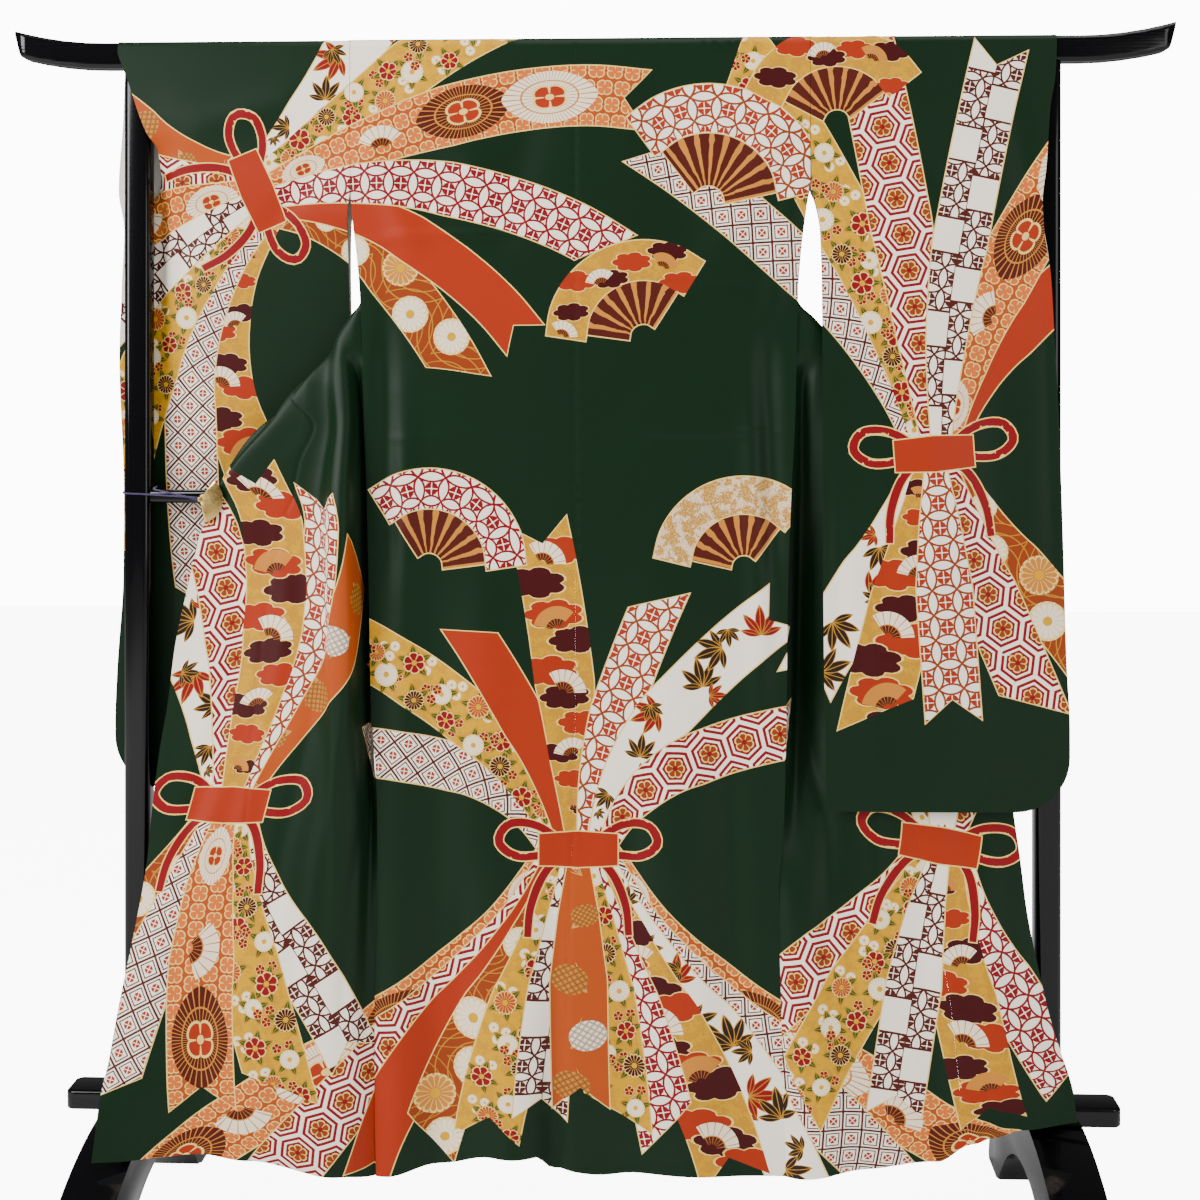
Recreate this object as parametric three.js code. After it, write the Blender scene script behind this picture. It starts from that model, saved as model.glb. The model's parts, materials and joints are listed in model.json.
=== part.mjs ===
import * as THREE from 'three';
import { mergeVertices } from 'three/addons/utils/BufferGeometryUtils.js';

// A long-sleeved kimono spread over a lacquered kimono stand. Millimetres, +Z up.
// The origin lies on the floor under the middle of the stand, and the back of the kimono faces -Y.

// Stand
const barLength = 1644;
const barHeight = 37;
const barDepth = 34;
const barTop = 1703.5;
const barTipRise = 18;
const barTipStart = 690;
const barSlant = 9;
const postX = 645;
const postWidth = 37;
const postDepth = 34;
const railBottom = 1045;
const railHeight = 18.3;
const railDepth = 24;
const beamLength = 1488;
const beamDepth = 56;
const beamBottom = 182;
const beamHeight = 27;
const footWidth = 76;
const footX = 652;
const footReach = 300;
const footRadius = 483;
const fitGap = 0.3;

// Cloth
const clothWall = 1.5;
const seamGap = 0.3;
const sharpFold = THREE.MathUtils.degToRad(35);
const maxMiter = 1.5;
const collarWidth = 55;
const neckLeft = -107;
const neckRight = 73;
const sleeveBottom = 629;
const sleeveCorner = 75;

const lacquer = { color: 0x08080a, roughness: 0.18, metalness: 0 };
const silk = { color: 0x17351f, roughness: 0.62, metalness: 0 };
const printed = { color: 0xb4603a, roughness: 0.6, metalness: 0 };
const gilt = { color: 0xc9a24a, roughness: 0.3, metalness: 1 };
const violet = { color: 0x24104a, roughness: 0.8, metalness: 0 };

const kimono = new THREE.Group();
kimono.name = 'kimono_on_stand';

function addMesh(name, geometry, look) {
  const mesh = new THREE.Mesh(geometry, new THREE.MeshStandardMaterial(look));
  mesh.name = name;
  kimono.add(mesh);
  return mesh;
}

function mix(a, b, t) {
  return a + (b - a) * t;
}

// Cubic through the rows of a table, read at any height. The first column falls from row to row.
function readTable(table, height) {
  const last = table.length - 1;
  let row = 0;
  while (row < last - 1 && height < table[row + 1][0]) {
    row += 1;
  }
  const from = table[row];
  const to = table[row + 1];
  const span = to[0] - from[0];
  const t = THREE.MathUtils.clamp((height - from[0]) / span, 0, 1);
  const before = table[Math.max(row - 1, 0)];
  const after = table[Math.min(row + 2, last)];
  return from.map((value, column) => {
    const slopeIn = slopeOf(before, from, to, column) * span;
    const slopeOut = slopeOf(from, to, after, column) * span;
    const t2 = t * t;
    const t3 = t2 * t;
    const ownShare = 2 * t3 - 3 * t2 + 1;
    const nextShare = -2 * t3 + 3 * t2;
    return ownShare * value + (t3 - 2 * t2 + t) * slopeIn + nextShare * to[column] + (t3 - t2) * slopeOut;
  });
}

// Slope of a table's column at the middle row of three, held to zero at a turning point
function slopeOf(before, middle, after, column) {
  const stepIn = middle[0] - before[0];
  const stepOut = after[0] - middle[0];
  const rateIn = stepIn === 0 ? null : (middle[column] - before[column]) / stepIn;
  const rateOut = stepOut === 0 ? null : (after[column] - middle[column]) / stepOut;
  if (rateIn === null) {
    return rateOut;
  }
  if (rateOut === null) {
    return rateIn;
  }
  if (rateIn * rateOut <= 0) {
    return 0;
  }
  return (2 * rateIn * rateOut) / (rateIn + rateOut);
}

// Direction of the cloth across its row, and how far a corner's wall has to reach to keep its thickness. A point may
// carry a direction of its own, so that two pieces lean alike at their seam. A sharp fold takes the mean of its sides.
function acrossAt(row, c) {
  const last = row.length - 1;
  const unit = (from, to) => row[to].clone().sub(row[from]).normalize();
  const before = unit(Math.max(c - 1, 0), Math.max(c, 1));
  const after = unit(Math.min(c, last - 1), Math.min(c + 1, last));
  const sum = before.clone().add(after);
  if (before.angleTo(after) > sharpFold) {
    return { across: sum.clone().normalize(), miter: Math.min(2 / sum.length(), maxMiter) };
  }
  const given = (row[c].across ?? sum).clone();
  return { across: given.multiplyScalar(Math.sign(given.dot(sum))), miter: 1 };
}

// Direction of the cloth from row to row: a point's own one where it has one, or the way between its neighbours
function upAt(grid, r, c) {
  const step = grid[Math.min(r + 1, grid.length - 1)][c].clone().sub(grid[Math.max(r - 1, 0)][c]);
  const given = grid[r][c].up;
  return given ? given.clone().multiplyScalar(Math.sign(step.z)) : step;
}

// A closed wall around a grid of points
function wallOf(grid, thickness) {
  const rows = grid.length;
  const columns = grid[0].length;
  const positions = [];
  const half = thickness / 2;
  for (const side of [1, -1]) {
    for (let r = 0; r < rows; r += 1) {
      for (let c = 0; c < columns; c += 1) {
        const { across, miter } = acrossAt(grid[r], c);
        const normal = across.cross(upAt(grid, r, c)).normalize();
        const point = grid[r][c].clone().addScaledVector(normal, side * half * miter);
        positions.push(point.x, point.y, point.z);
      }
    }
  }
  const back = rows * columns;
  const at = (r, c) => r * columns + c;
  const index = [];
  const quad = (a, b, c, d) => index.push(a, b, c, a, c, d);
  for (let r = 0; r < rows - 1; r += 1) {
    for (let c = 0; c < columns - 1; c += 1) {
      quad(at(r, c), at(r, c + 1), at(r + 1, c + 1), at(r + 1, c));
      quad(back + at(r, c), back + at(r + 1, c), back + at(r + 1, c + 1), back + at(r, c + 1));
    }
  }
  const rim = [];
  for (let c = 0; c < columns - 1; c += 1) {
    rim.push(at(0, c));
  }
  for (let r = 0; r < rows - 1; r += 1) {
    rim.push(at(r, columns - 1));
  }
  for (let c = columns - 1; c > 0; c -= 1) {
    rim.push(at(rows - 1, c));
  }
  for (let r = rows - 1; r > 0; r -= 1) {
    rim.push(at(r, 0));
  }
  rim.forEach((from, i) => {
    const to = rim[(i + 1) % rim.length];
    if (i < columns - 1 + rows - 1) {
      quad(from, back + from, back + to, to);
    } else {
      quad(back + from, back + to, to, from);
    }
  });
  const geometry = new THREE.BufferGeometry();
  geometry.setAttribute('position', new THREE.Float32BufferAttribute(positions, 3));
  geometry.setIndex(index);
  return geometry;
}

// A closed solid through equal rings of points
function loft(rings) {
  const count = rings[0].length;
  const positions = rings.flat().flatMap((point) => [point.x, point.y, point.z]);
  const index = [];
  for (let r = 0; r < rings.length - 1; r += 1) {
    for (let i = 0; i < count; i += 1) {
      const j = (i + 1) % count;
      const a = r * count + i;
      const b = r * count + j;
      index.push(a, b, b + count, a, b + count, a + count);
    }
  }
  const end = (rings.length - 1) * count;
  for (let i = 1; i < count - 1; i += 1) {
    index.push(0, i + 1, i);
    index.push(end, end + i, end + i + 1);
  }
  const geometry = new THREE.BufferGeometry();
  geometry.setAttribute('position', new THREE.Float32BufferAttribute(positions, 3));
  geometry.setIndex(index);
  return geometry;
}

function roundedRectangle(width, height, radius) {
  const shape = new THREE.Shape();
  const x = width / 2;
  const y = height / 2;
  shape.moveTo(-x + radius, -y);
  shape.lineTo(x - radius, -y);
  shape.absarc(x - radius, -y + radius, radius, -Math.PI / 2, 0);
  shape.lineTo(x, y - radius);
  shape.absarc(x - radius, y - radius, radius, 0, Math.PI / 2);
  shape.lineTo(-x + radius, y);
  shape.absarc(-x + radius, y - radius, radius, Math.PI / 2, Math.PI);
  shape.lineTo(-x, -y + radius);
  shape.absarc(-x + radius, -y + radius, radius, Math.PI, Math.PI * 1.5);
  return shape;
}

// Top bar: a level rounded bar whose tips sweep up and end in a slanting cut
function barRise(x) {
  const past = Math.max(0, Math.abs(x) - barTipStart) / (barLength / 2 - barTipStart);
  return barTipRise * past * past;
}

const barSection = roundedRectangle(barDepth, barHeight, 8).getPoints(3);
barSection.pop();
const barStations = [];
for (const x of [0, 90, 320, 640, 690, 720, 750, 780, 805, barLength / 2]) {
  barStations.push(x);
  if (x > 0) {
    barStations.unshift(-x);
  }
}
const barRings = barStations.map((x) => barSection.map((point) => {
  const isTip = Math.abs(x) === barLength / 2;
  const slant = isTip ? Math.sign(x) * barSlant * (point.y / barHeight - 0.5) : 0;
  return new THREE.Vector3(x + slant, point.x, barTop - barHeight / 2 + point.y + barRise(x));
}));
addMesh('top_bar', loft(barRings), lacquer);

const postTop = barTop - barHeight - fitGap;
const beamTop = beamBottom + beamHeight;
for (const side of [-1, 1]) {
  const label = side < 0 ? 'left' : 'right';
  const post = new THREE.ExtrudeGeometry(roundedRectangle(postWidth, postDepth, 9), {
    depth: postTop - beamTop - fitGap,
    bevelEnabled: false,
    curveSegments: 4,
  });
  addMesh(`${label}_post`, post, lacquer).position.set(side * postX, 0, beamTop + fitGap);
}

const railLength = 2 * (postX - postWidth / 2 - fitGap);
const rail = new THREE.ExtrudeGeometry(roundedRectangle(railHeight, railDepth, 5), {
  depth: railLength,
  bevelEnabled: false,
  curveSegments: 3,
});
const railMesh = addMesh('middle_rail', rail, lacquer);
railMesh.rotation.y = Math.PI / 2;
railMesh.position.set(-railLength / 2, 0, railBottom + railHeight / 2);

const beamBevel = 3;
const beam = new THREE.ExtrudeGeometry(
  roundedRectangle(beamLength - 2 * beamBevel, beamDepth - 2 * beamBevel, 9),
  { depth: beamHeight - 2 * beamBevel, bevelThickness: beamBevel, bevelSize: beamBevel, bevelSegments: 2, curveSegments: 4 },
);
addMesh('lower_beam', beam, lacquer).position.z = beamBottom + beamBevel;

// Foot: a low arch from front to back, flat where it carries the beam and under both toes
function archDrop(reach, radius) {
  return radius - Math.sqrt(radius * radius - reach * reach);
}

function footProfile() {
  const crown = beamBottom - fitGap;
  const shape = new THREE.Shape();
  const outer = [];
  const steps = 14;
  for (let i = 0; i <= steps; i += 1) {
    const reach = mix(28, 262, i / steps);
    outer.push([reach, crown - archDrop(reach, footRadius) + archDrop(28, footRadius)]);
  }
  const toe = [[280, 58], [293, 34], [footReach, 8], [footReach - 3, 0], [226, 0], [222, 3]];
  const inner = [];
  for (let i = 0; i <= steps; i += 1) {
    const reach = mix(205, 0, i / steps);
    inner.push([reach, 112 - 0.00204 * reach * reach - 1.1e-8 * reach ** 4]);
  }
  const half = [...outer, ...toe, ...inner];
  half.forEach(([y, z], i) => (i === 0 ? shape.moveTo(y, z) : shape.lineTo(y, z)));
  half.slice(0, -1).reverse().forEach(([y, z]) => shape.lineTo(-y, z));
  shape.closePath();
  return shape;
}

for (const side of [-1, 1]) {
  const label = side < 0 ? 'left' : 'right';
  const foot = new THREE.ExtrudeGeometry(footProfile(), { depth: footWidth, bevelEnabled: false });
  const mesh = addMesh(`${label}_foot`, foot, lacquer);
  mesh.rotation.set(Math.PI / 2, Math.PI / 2, 0);
  mesh.position.set(side * footX - footWidth / 2, 0, 0);
}

// Back: height, left edge, middle seam, right edge, depth
const backTable = [
  [1686, -337, -17, 313, -18.6],
  [1600, -336, -17, 312.7, -26],
  [1494, -334, -16.5, 312.4, -31],
  [1467, -333, -16.5, 308, -32],
  [1400, -325, -16.5, 299.5, -35],
  [1345, -320, -16, 295.5, -37],
  [1270, -316, -16, 293.5, -40],
  [1163, -312.5, -16, 290.5, -44],
  [1055, -308, -15.5, 285, -48],
  [914, -304, -15, 280, -53],
  [774, -300.5, -15, 278, -58],
  [635, -291, -17, 275, -63],
  [496, -289, -22, 267, -68],
  [365, -292, -26, 269.5, -72],
  [228, -291.5, -31, 273.5, -76],
  [122, -288.5, -33.5, 277.3, -80],
];

// Hem height along the width, from left to right
const hemTable = [
  [-670, 170], [-620, 166], [-570, 167], [-527, 168.5], [-458, 157], [-333, 130], [-288, 122], [-212, 134],
  [-122, 154], [-68, 154], [-44, 131], [21, 124], [73, 129], [225, 130], [277, 130], [388, 144], [481, 156],
  [527, 182], [557, 193], [594, 205], [680, 218],
];

// Folds of the lower back: middle, half width, depth, height where each starts
const backFolds = [
  [-262, 30, -9, 820],
  [-205, 24, 7, 760],
  [-100, 42, -16, 620],
  [-42, 18, 9, 620],
  [40, 60, 5, 700],
  [150, 55, -6, 760],
];

function hemHeight(x) {
  let i = 0;
  while (i < hemTable.length - 2 && x > hemTable[i + 1][0]) {
    i += 1;
  }
  const [fromX, from] = hemTable[i];
  const [toX, to] = hemTable[i + 1];
  const t = THREE.MathUtils.clamp((x - fromX) / (toX - fromX), 0, 1);
  return mix(from, to, t * t * (3 - 2 * t));
}

const hemBlend = 330;
const lowest = 122;

// Lets the lowest rows follow the hem line
function overHem(x, height) {
  const share = THREE.MathUtils.clamp((hemBlend - height) / (hemBlend - lowest), 0, 1);
  return height + (hemHeight(x) - lowest) * share * share;
}

function backPoint(height, share) {
  const [, left, middle, right, depth] = readTable(backTable, height);
  const x = share < 0 ? mix(middle, left, -share) : mix(middle, right, share);
  const folded = backFolds.reduce((sum, [at, halfWidth, deep, start]) => {
    const grow = THREE.MathUtils.clamp((start - height) / (start - lowest), 0, 1);
    return sum + deep * grow * Math.exp(-(((x - at) / halfWidth) ** 2));
  }, 0);
  return new THREE.Vector3(x, depth + folded, overHem(x, height));
}

// A point of the cloth at a height and a place across, with the directions across and up the cloth there
function clothPoint(read, height, at, reach) {
  const rise = 4;
  const point = read(height, at);
  point.across = read(height, at + reach).sub(read(height, at - reach));
  point.up = read(height + rise, at).sub(read(height - rise, at));
  return point;
}

// Fronts: height, okumi seam as a knot number, then ten knots of the section as x and y. The knots run from the
// side seam over the folds to the free edge.
const leftFront = [
  [1686, 9, -337, 18.6, -311, 18.6, -286, 18.6, -260, 18.6, -235, 18.6, -209, 18.6, -184, 18.6, -158, 18.6, -133, 18.6, -107, 18.6],
  [1600, 9, -336, 16, -310, 17, -285, 18, -259, 18.5, -233, 19, -207, 19, -182, 19.5, -156, 19.5, -130, 19.8, -105, 20],
  [1494, 9, -334, 8, -308, 11, -282, 13, -256, 14, -230, 15, -204, 16, -178, 16.5, -152, 17, -126, 17.5, -100, 18],
  [1440, 9, -325, 0, -300, 5, -275, 8, -249, 10, -223, 11, -197, 12, -170, 13, -143, 14, -116, 15, -90, 15],
  [1400, 9, -316, -12, -298, -4, -275, 2, -250, 5, -222, 7, -195, 8, -168, 9, -140, 10, -112, 11, -84, 12],
  [1345, 8.9, -318, -34, -313, -26, -302, -16, -280, -9, -250, -5, -215, -2, -180, 0, -145, 2, -110, 3, -78, 5],
  [1315, 8.7, -318.5, -36, -325, -36, -330, -33, -332, -27, -328, -19, -310, -13, -255, -9, -200, -6, -140, -3, -80, 0],
  [1270, 8, -315, -38, -330, -40, -344, -40, -353, -37, -357, -31, -351, -24, -320, -18, -250, -14, -175, -10, -92, -5],
  [1215, 6.5, -314, -40, -322, -28, -334, -52, -350, -53, -368, -43, -396, -40, -404, -34, -396, -27, -290, -18, -150, -12],
  [1157, 4.6, -312, -42, -318, -24, -328, -62, -346, -64, -364, -46, -400, -43, -441, -41, -452, -35, -441, -28, -225, -6],
  [1105, 4.6, -310, -43, -316, -20, -328, -72, -350, -74, -372, -47, -430, -43, -486, -41, -497, -37, -487, -29, -330, -6],
  [1063, 4.6, -308, -45, -315, -18, -327, -80, -352, -83, -376, -49, -440, -44, -512, -42, -524, -39, -515, -35, -440, -22],
  [1040, 4.7, -307.5, -46, -315, -16, -326, -84, -352, -87, -376, -51, -440, -46, -505, -45, -529, -42, -533, -38, -505, -30],
  [1015, 5, -307, -47, -315, -14, -326, -86, -352, -90, -376, -54, -430, -48, -475, -47, -505, -46, -527, -45, -541, -43],
  [937, 5, -304, -50, -313, -12, -324, -86, -350, -94, -374, -62, -444, -52, -475, -50, -505, -49, -535, -48, -560, -48],
  [845, 5, -302, -54, -311, -16, -322, -86, -349, -96, -374, -70, -456, -58, -489, -55, -520, -53, -550, -52, -579, -52],
  [771, 5, -300, -56, -309, -24, -320, -86, -347, -97, -374, -78, -462, -64, -495, -61, -527, -59, -558, -58, -587, -58],
  [698, 5, -296, -60, -307, -36, -317, -86, -344, -98, -374, -85, -466, -71, -500, -68, -534, -66, -566, -64, -598, -64],
  [609, 5, -289, -64, -302, -52, -313, -86, -340, -99, -372, -92, -472, -80, -507, -76, -541, -74, -575, -73, -607, -72],
  [552, 5, -288, -67, -302, -62, -314, -88, -340, -100, -372, -96, -480, -87, -513, -84, -546, -82, -579, -81, -610.5, -80],
  [445, 5, -289, -71, -303, -76, -317, -93, -342, -102, -374, -102, -492, -98, -525, -97, -560, -97, -594, -98, -626, -98],
  [366, 5, -291.5, -74, -305, -83, -320, -97, -345, -106, -378, -107, -500, -108, -535, -109, -570, -111, -606, -113, -639, -115],
  [294, 5, -291.5, -76, -306, -88, -322, -101, -348, -109, -380, -111, -508, -116, -543, -119, -579, -123, -614, -127, -648, -132],
  [227, 5, -291, -78, -307, -92, -324, -104, -350, -112, -383, -115, -518, -124, -552, -129, -588, -136, -622, -143, -656, -152],
  [122, 5, -288.5, -82, -306, -97, -324, -108, -350, -116, -384, -120, -527, -134, -562, -141, -596, -150, -629, -160, -659, -172],
];

const rightFront = [
  [1686, 9, 313, 18.6, 286, 18.6, 260, 18.6, 233, 18.6, 206, 18.6, 180, 18.6, 153, 18.6, 126, 18.6, 100, 18.6, 73, 18.6],
  [1600, 9, 312.7, 16, 286, 17, 259, 18, 232, 18.5, 205, 19, 178, 19, 151, 19.5, 124, 19.5, 97, 19.8, 70, 20],
  [1494, 9, 312.4, 8, 285, 11, 257, 13, 230, 14, 203, 15, 175, 16, 148, 16.5, 120, 17, 92, 17.5, 65, 18],
  [1440, 9, 300, 0, 275, 5, 250, 8, 223, 10, 196, 11, 168, 12, 140, 13, 112, 14, 84, 15, 55, 15],
  [1400, 9, 290, -12, 272, -4, 249, 2, 223, 5, 195, 7, 167, 8, 138, 9, 109, 10, 80, 11, 50, 12],
  [1345, 8.9, 293, -34, 290, -26, 280, -16, 258, -9, 228, -5, 194, -2, 158, 0, 120, 2, 82, 3, 45, 5],
  [1310, 8.7, 292, -36, 303, -35, 312, -32, 316, -26, 310, -19, 288, -13, 232, -9, 172, -6, 110, -3, 48, 0],
  [1270, 8, 291.5, -38, 312, -38, 330, -37, 343, -34, 349, -29, 342, -23, 300, -18, 225, -14, 145, -10, 60, -5],
  [1215, 6.5, 290, -40, 302, -26, 320, -36, 352, -40, 380, -38, 392, -33, 381, -25, 300, -19, 210, -14, 115, -9],
  [1157, 4.6, 288, -42, 300, -21, 318, -30, 350, -40, 395, -41, 430, -39, 443, -33, 431, -25, 330, -12, 200, -5],
  [1105, 4.6, 285.5, -44, 299, -18, 318, -26, 352, -38, 400, -43, 470, -41, 484, -34, 471, -26, 400, -16, 300, -4],
  [1063, 4.6, 284, -46, 298, -16, 318, -22, 354, -36, 410, -45, 500, -42, 515, -35, 503, -27, 460, -22, 400, -19],
  [1040, 4.7, 283, -46, 297, -14, 318, -20, 356, -36, 412, -46, 490, -44, 520, -40, 528, -33, 520, -26, 500, -22],
  [1015, 5, 282, -47, 296, -10, 318, -16, 356, -36, 410, -46, 450, -46, 485, -44, 512, -42, 532, -38, 545, -33],
  [937, 5, 279.5, -50, 294, -4, 316, -10, 356, -36, 400, -48, 440, -49, 472, -47, 502, -44, 529, -40, 553, -36],
  [845, 5, 278, -54, 292, -4, 314, -10, 354, -38, 398, -50, 440, -51, 474, -49, 507, -46, 538, -43, 565, -40],
  [771, 5, 277, -56, 291, -10, 313, -16, 352, -42, 396, -52, 442, -53, 477, -51, 511, -49, 544, -46, 575, -43],
  [698, 5, 276, -59, 290, -24, 311, -28, 350, -46, 394, -53, 445, -54, 481, -52, 516, -50, 550, -48, 583, -46],
  [629, 5, 273.5, -61, 288, -44, 309, -44, 348, -50, 394, -55, 450, -56, 487, -54, 522, -52, 557, -50, 590, -49],
  [560, 5, 269.5, -64, 286, -62, 309, -60, 348, -59, 398, -62, 462, -62, 498, -60, 533, -58, 567, -56, 599, -55],
  [493, 5, 266, -67, 284, -74, 309, -75, 350, -69, 404, -68, 476, -67, 510, -65, 543, -63, 575, -61, 607, -60],
  [370, 5, 268.5, -71, 288, -82, 314, -84, 356, -76, 414, -73, 500, -76, 534, -76, 567, -75, 599, -74, 631, -73],
  [228, 5, 272.5, -76, 294, -88, 322, -91, 366, -82, 424, -78, 514, -84, 552, -86, 590, -87, 628, -87, 665, -88],
  [122, 5, 276, -81, 298, -93, 328, -97, 372, -87, 432, -82, 527, -90, 563, -93, 599, -95, 634, -95, 668, -96],
];

// A point on a front's section, at a knot number from 0 to 9
function frontPoint(table, height, knot) {
  const last = 9;
  if (knot > last) {
    const end = frontPoint(table, height, last);
    return end.add(end.clone().sub(frontPoint(table, height, 2 * last - knot)));
  }
  if (knot < 0) {
    const start = frontPoint(table, height, 0);
    return start.add(start.clone().sub(frontPoint(table, height, -knot)));
  }
  const row = readTable(table, height);
  const i = Math.min(Math.floor(knot), last - 1);
  const t = knot - i;
  const read = (n, axis) => row[2 + 2 * THREE.MathUtils.clamp(n, 0, last) + axis];
  const [x, y] = [0, 1].map((axis) => {
    const a = read(i, axis);
    const b = read(i + 1, axis);
    const slopeA = i === 0 ? b - a : (b - read(i - 1, axis)) / 2;
    const slopeB = i === last - 1 ? b - a : (read(i + 2, axis) - a) / 2;
    const t2 = t * t;
    const t3 = t2 * t;
    const ownShare = 2 * t3 - 3 * t2 + 1;
    return ownShare * a + (t3 - 2 * t2 + t) * slopeA + (-2 * t3 + 3 * t2) * b + (t3 - t2) * slopeB;
  });
  return new THREE.Vector3(x, y, overHem(x, height));
}

function okumiKnot(table, height) {
  return readTable(table, height)[1];
}

// The cloth's way over the bar: turns of 0 to 180 degrees from the back to the front
const overBar = [0, 30, 60, 90, 90.01, 120, 150, 180];
const barCorner = { y: barDepth / 2 - 8, z: barTop - 8, radius: 8 + clothWall / 2 + 0.6 };

function barPoint(x, degrees) {
  const angle = THREE.MathUtils.degToRad(degrees);
  const side = degrees <= 90 ? -1 : 1;
  const y = side * barCorner.y - barCorner.radius * Math.cos(angle);
  return new THREE.Vector3(x, y, barCorner.z + barCorner.radius * Math.sin(angle));
}

const backRows = [122, 170, 228, 295, 365, 450, 560, 680, 800, 920, 1060, 1180, 1290, 1400, 1494, 1600, 1660];
const frontRows = [
  1660, 1600, 1550, 1515, 1494, 1440, 1400, 1370, 1345, 1315, 1290, 1260, 1237, 1215, 1195, 1185, 1175, 1157, 1130,
  1105, 1084, 1063, 1040, 1015, 975, 937, 845, 771, 698, 609, 500, 400, 294, 227, 170, 122,
];

// Moves the edge column of a grid along the cloth, by half a seam unless told otherwise, and never past its neighbour.
// A seam that slants across the rows needs a longer step for the same gap.
function openSeam(grid, column, gap = seamGap / 2) {
  const neighbour = column === 0 ? 1 : column - 1;
  grid.forEach((row, r) => {
    const before = grid[Math.max(r - 1, 0)][column];
    const after = grid[Math.min(r + 1, grid.length - 1)][column];
    const step = row[neighbour].clone().sub(row[column]);
    const slant = Math.max(Math.sin(step.angleTo(after.clone().sub(before))), 0.35);
    const room = step.length() * 0.4;
    const way = (row[column].across ?? step).clone();
    way.multiplyScalar(Math.sign(way.dot(step))).normalize();
    row[column].addScaledVector(way, Math.min(gap / slant, room));
  });
}

// One body strip: up the back, over the bar and down the front
function bodyGrid(side, table) {
  const columns = 10;
  const grid = [];
  const shares = Array.from({ length: columns }, (_, i) => 1 - i / (columns - 1));
  for (const height of backRows) {
    grid.push(shares.map((share) => clothPoint(backPoint, height, side * share, 0.03)));
  }
  const top = readTable(backTable, 1686);
  const outer = side < 0 ? top[1] : top[3];
  const neck = side < 0 ? neckLeft : neckRight;
  for (const degrees of overBar) {
    const inner = degrees > 120 ? mix(top[2], neck, (degrees - 120) / 60) : top[2];
    grid.push(shares.map((share) => barPoint(mix(inner, outer, share), degrees)));
  }
  const read = (height, knot) => frontPoint(table, height, knot);
  for (const height of frontRows) {
    const seam = okumiKnot(table, height);
    grid.push(shares.map((share) => clothPoint(read, height, seam * (1 - share), 0.15)));
  }
  openSeam(grid, columns - 1);
  openSeam(grid.slice(9), 0);
  return side < 0 ? grid.map((row) => row.reverse()) : grid;
}

function okumiGrid(side, table) {
  const columns = 7;
  const read = (height, knot) => frontPoint(table, height, knot);
  const grid = frontRows.filter((height) => height <= 1370).map((height) => {
    const seam = okumiKnot(table, height);
    const knots = Array.from({ length: columns }, (_, i) => mix(seam, 9, i / (columns - 1)));
    return knots.map((knot) => clothPoint(read, height, knot, 0.15));
  });
  openSeam(grid, 0, 0.2);
  return side < 0 ? grid.map((row) => row.reverse()) : grid;
}

addMesh('body_left', wallOf(bodyGrid(-1, leftFront), clothWall), silk);
addMesh('body_right', wallOf(bodyGrid(1, rightFront), clothWall), silk);
addMesh('okumi_left', wallOf(okumiGrid(-1, leftFront), clothWall), printed);
addMesh('okumi_right', wallOf(okumiGrid(1, rightFront), clothWall), printed);

// Collar: a folded band along both free edges, joined across the back of the neck
const collarRows = [
  1063, 1084, 1105, 1130, 1157, 1175, 1185, 1195, 1215, 1237, 1260, 1290, 1315, 1345, 1370, 1400, 1440, 1494, 1550,
  1600, 1635,
];
const collarWall = 2.6;

function collarEdge(table, height) {
  const end = clothPoint((z, knot) => frontPoint(table, z, knot), height, 9, 0.15);
  const out = end.across.normalize();
  const gap = (seamGap + 0.2) / Math.sin(out.angleTo(end.up));
  return { start: end.clone().addScaledVector(out, gap), out, up: end.up };
}

function collarGrid() {
  const bands = [];
  const columns = [0, 0.5, 1];
  const addSide = (table, heights) => {
    for (const height of heights) {
      const { start, out, up } = collarEdge(table, height);
      bands.push(columns.map((share) => {
        const point = start.clone().addScaledVector(out, share * collarWidth);
        point.across = out;
        point.up = share === 0 ? up : undefined;
        return point;
      }));
    }
  };
  addSide(leftFront, collarRows);
  const bandDepth = 22.4;
  const corner = 62;
  const cornerTop = 1640 + corner;
  for (const side of [-1, 1]) {
    const outerX = side < 0 ? neckLeft + 1.5 : neckRight - 1.5;
    const turns = side < 0 ? [15, 40, 65, 90] : [90, 65, 40, 15];
    for (const degrees of turns) {
      const angle = THREE.MathUtils.degToRad(degrees);
      bands.push(columns.map((share) => {
        const radius = corner - share * collarWidth;
        const x = outerX - side * (corner - radius * Math.cos(angle));
        return new THREE.Vector3(x, bandDepth, cornerTop - corner + radius * Math.sin(angle));
      }));
    }
  }
  addSide(rightFront, collarRows.slice().reverse());
  return bands;
}

addMesh('collar', wallOf(collarGrid().map((row) => row.reverse()), collarWall), silk);

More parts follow.
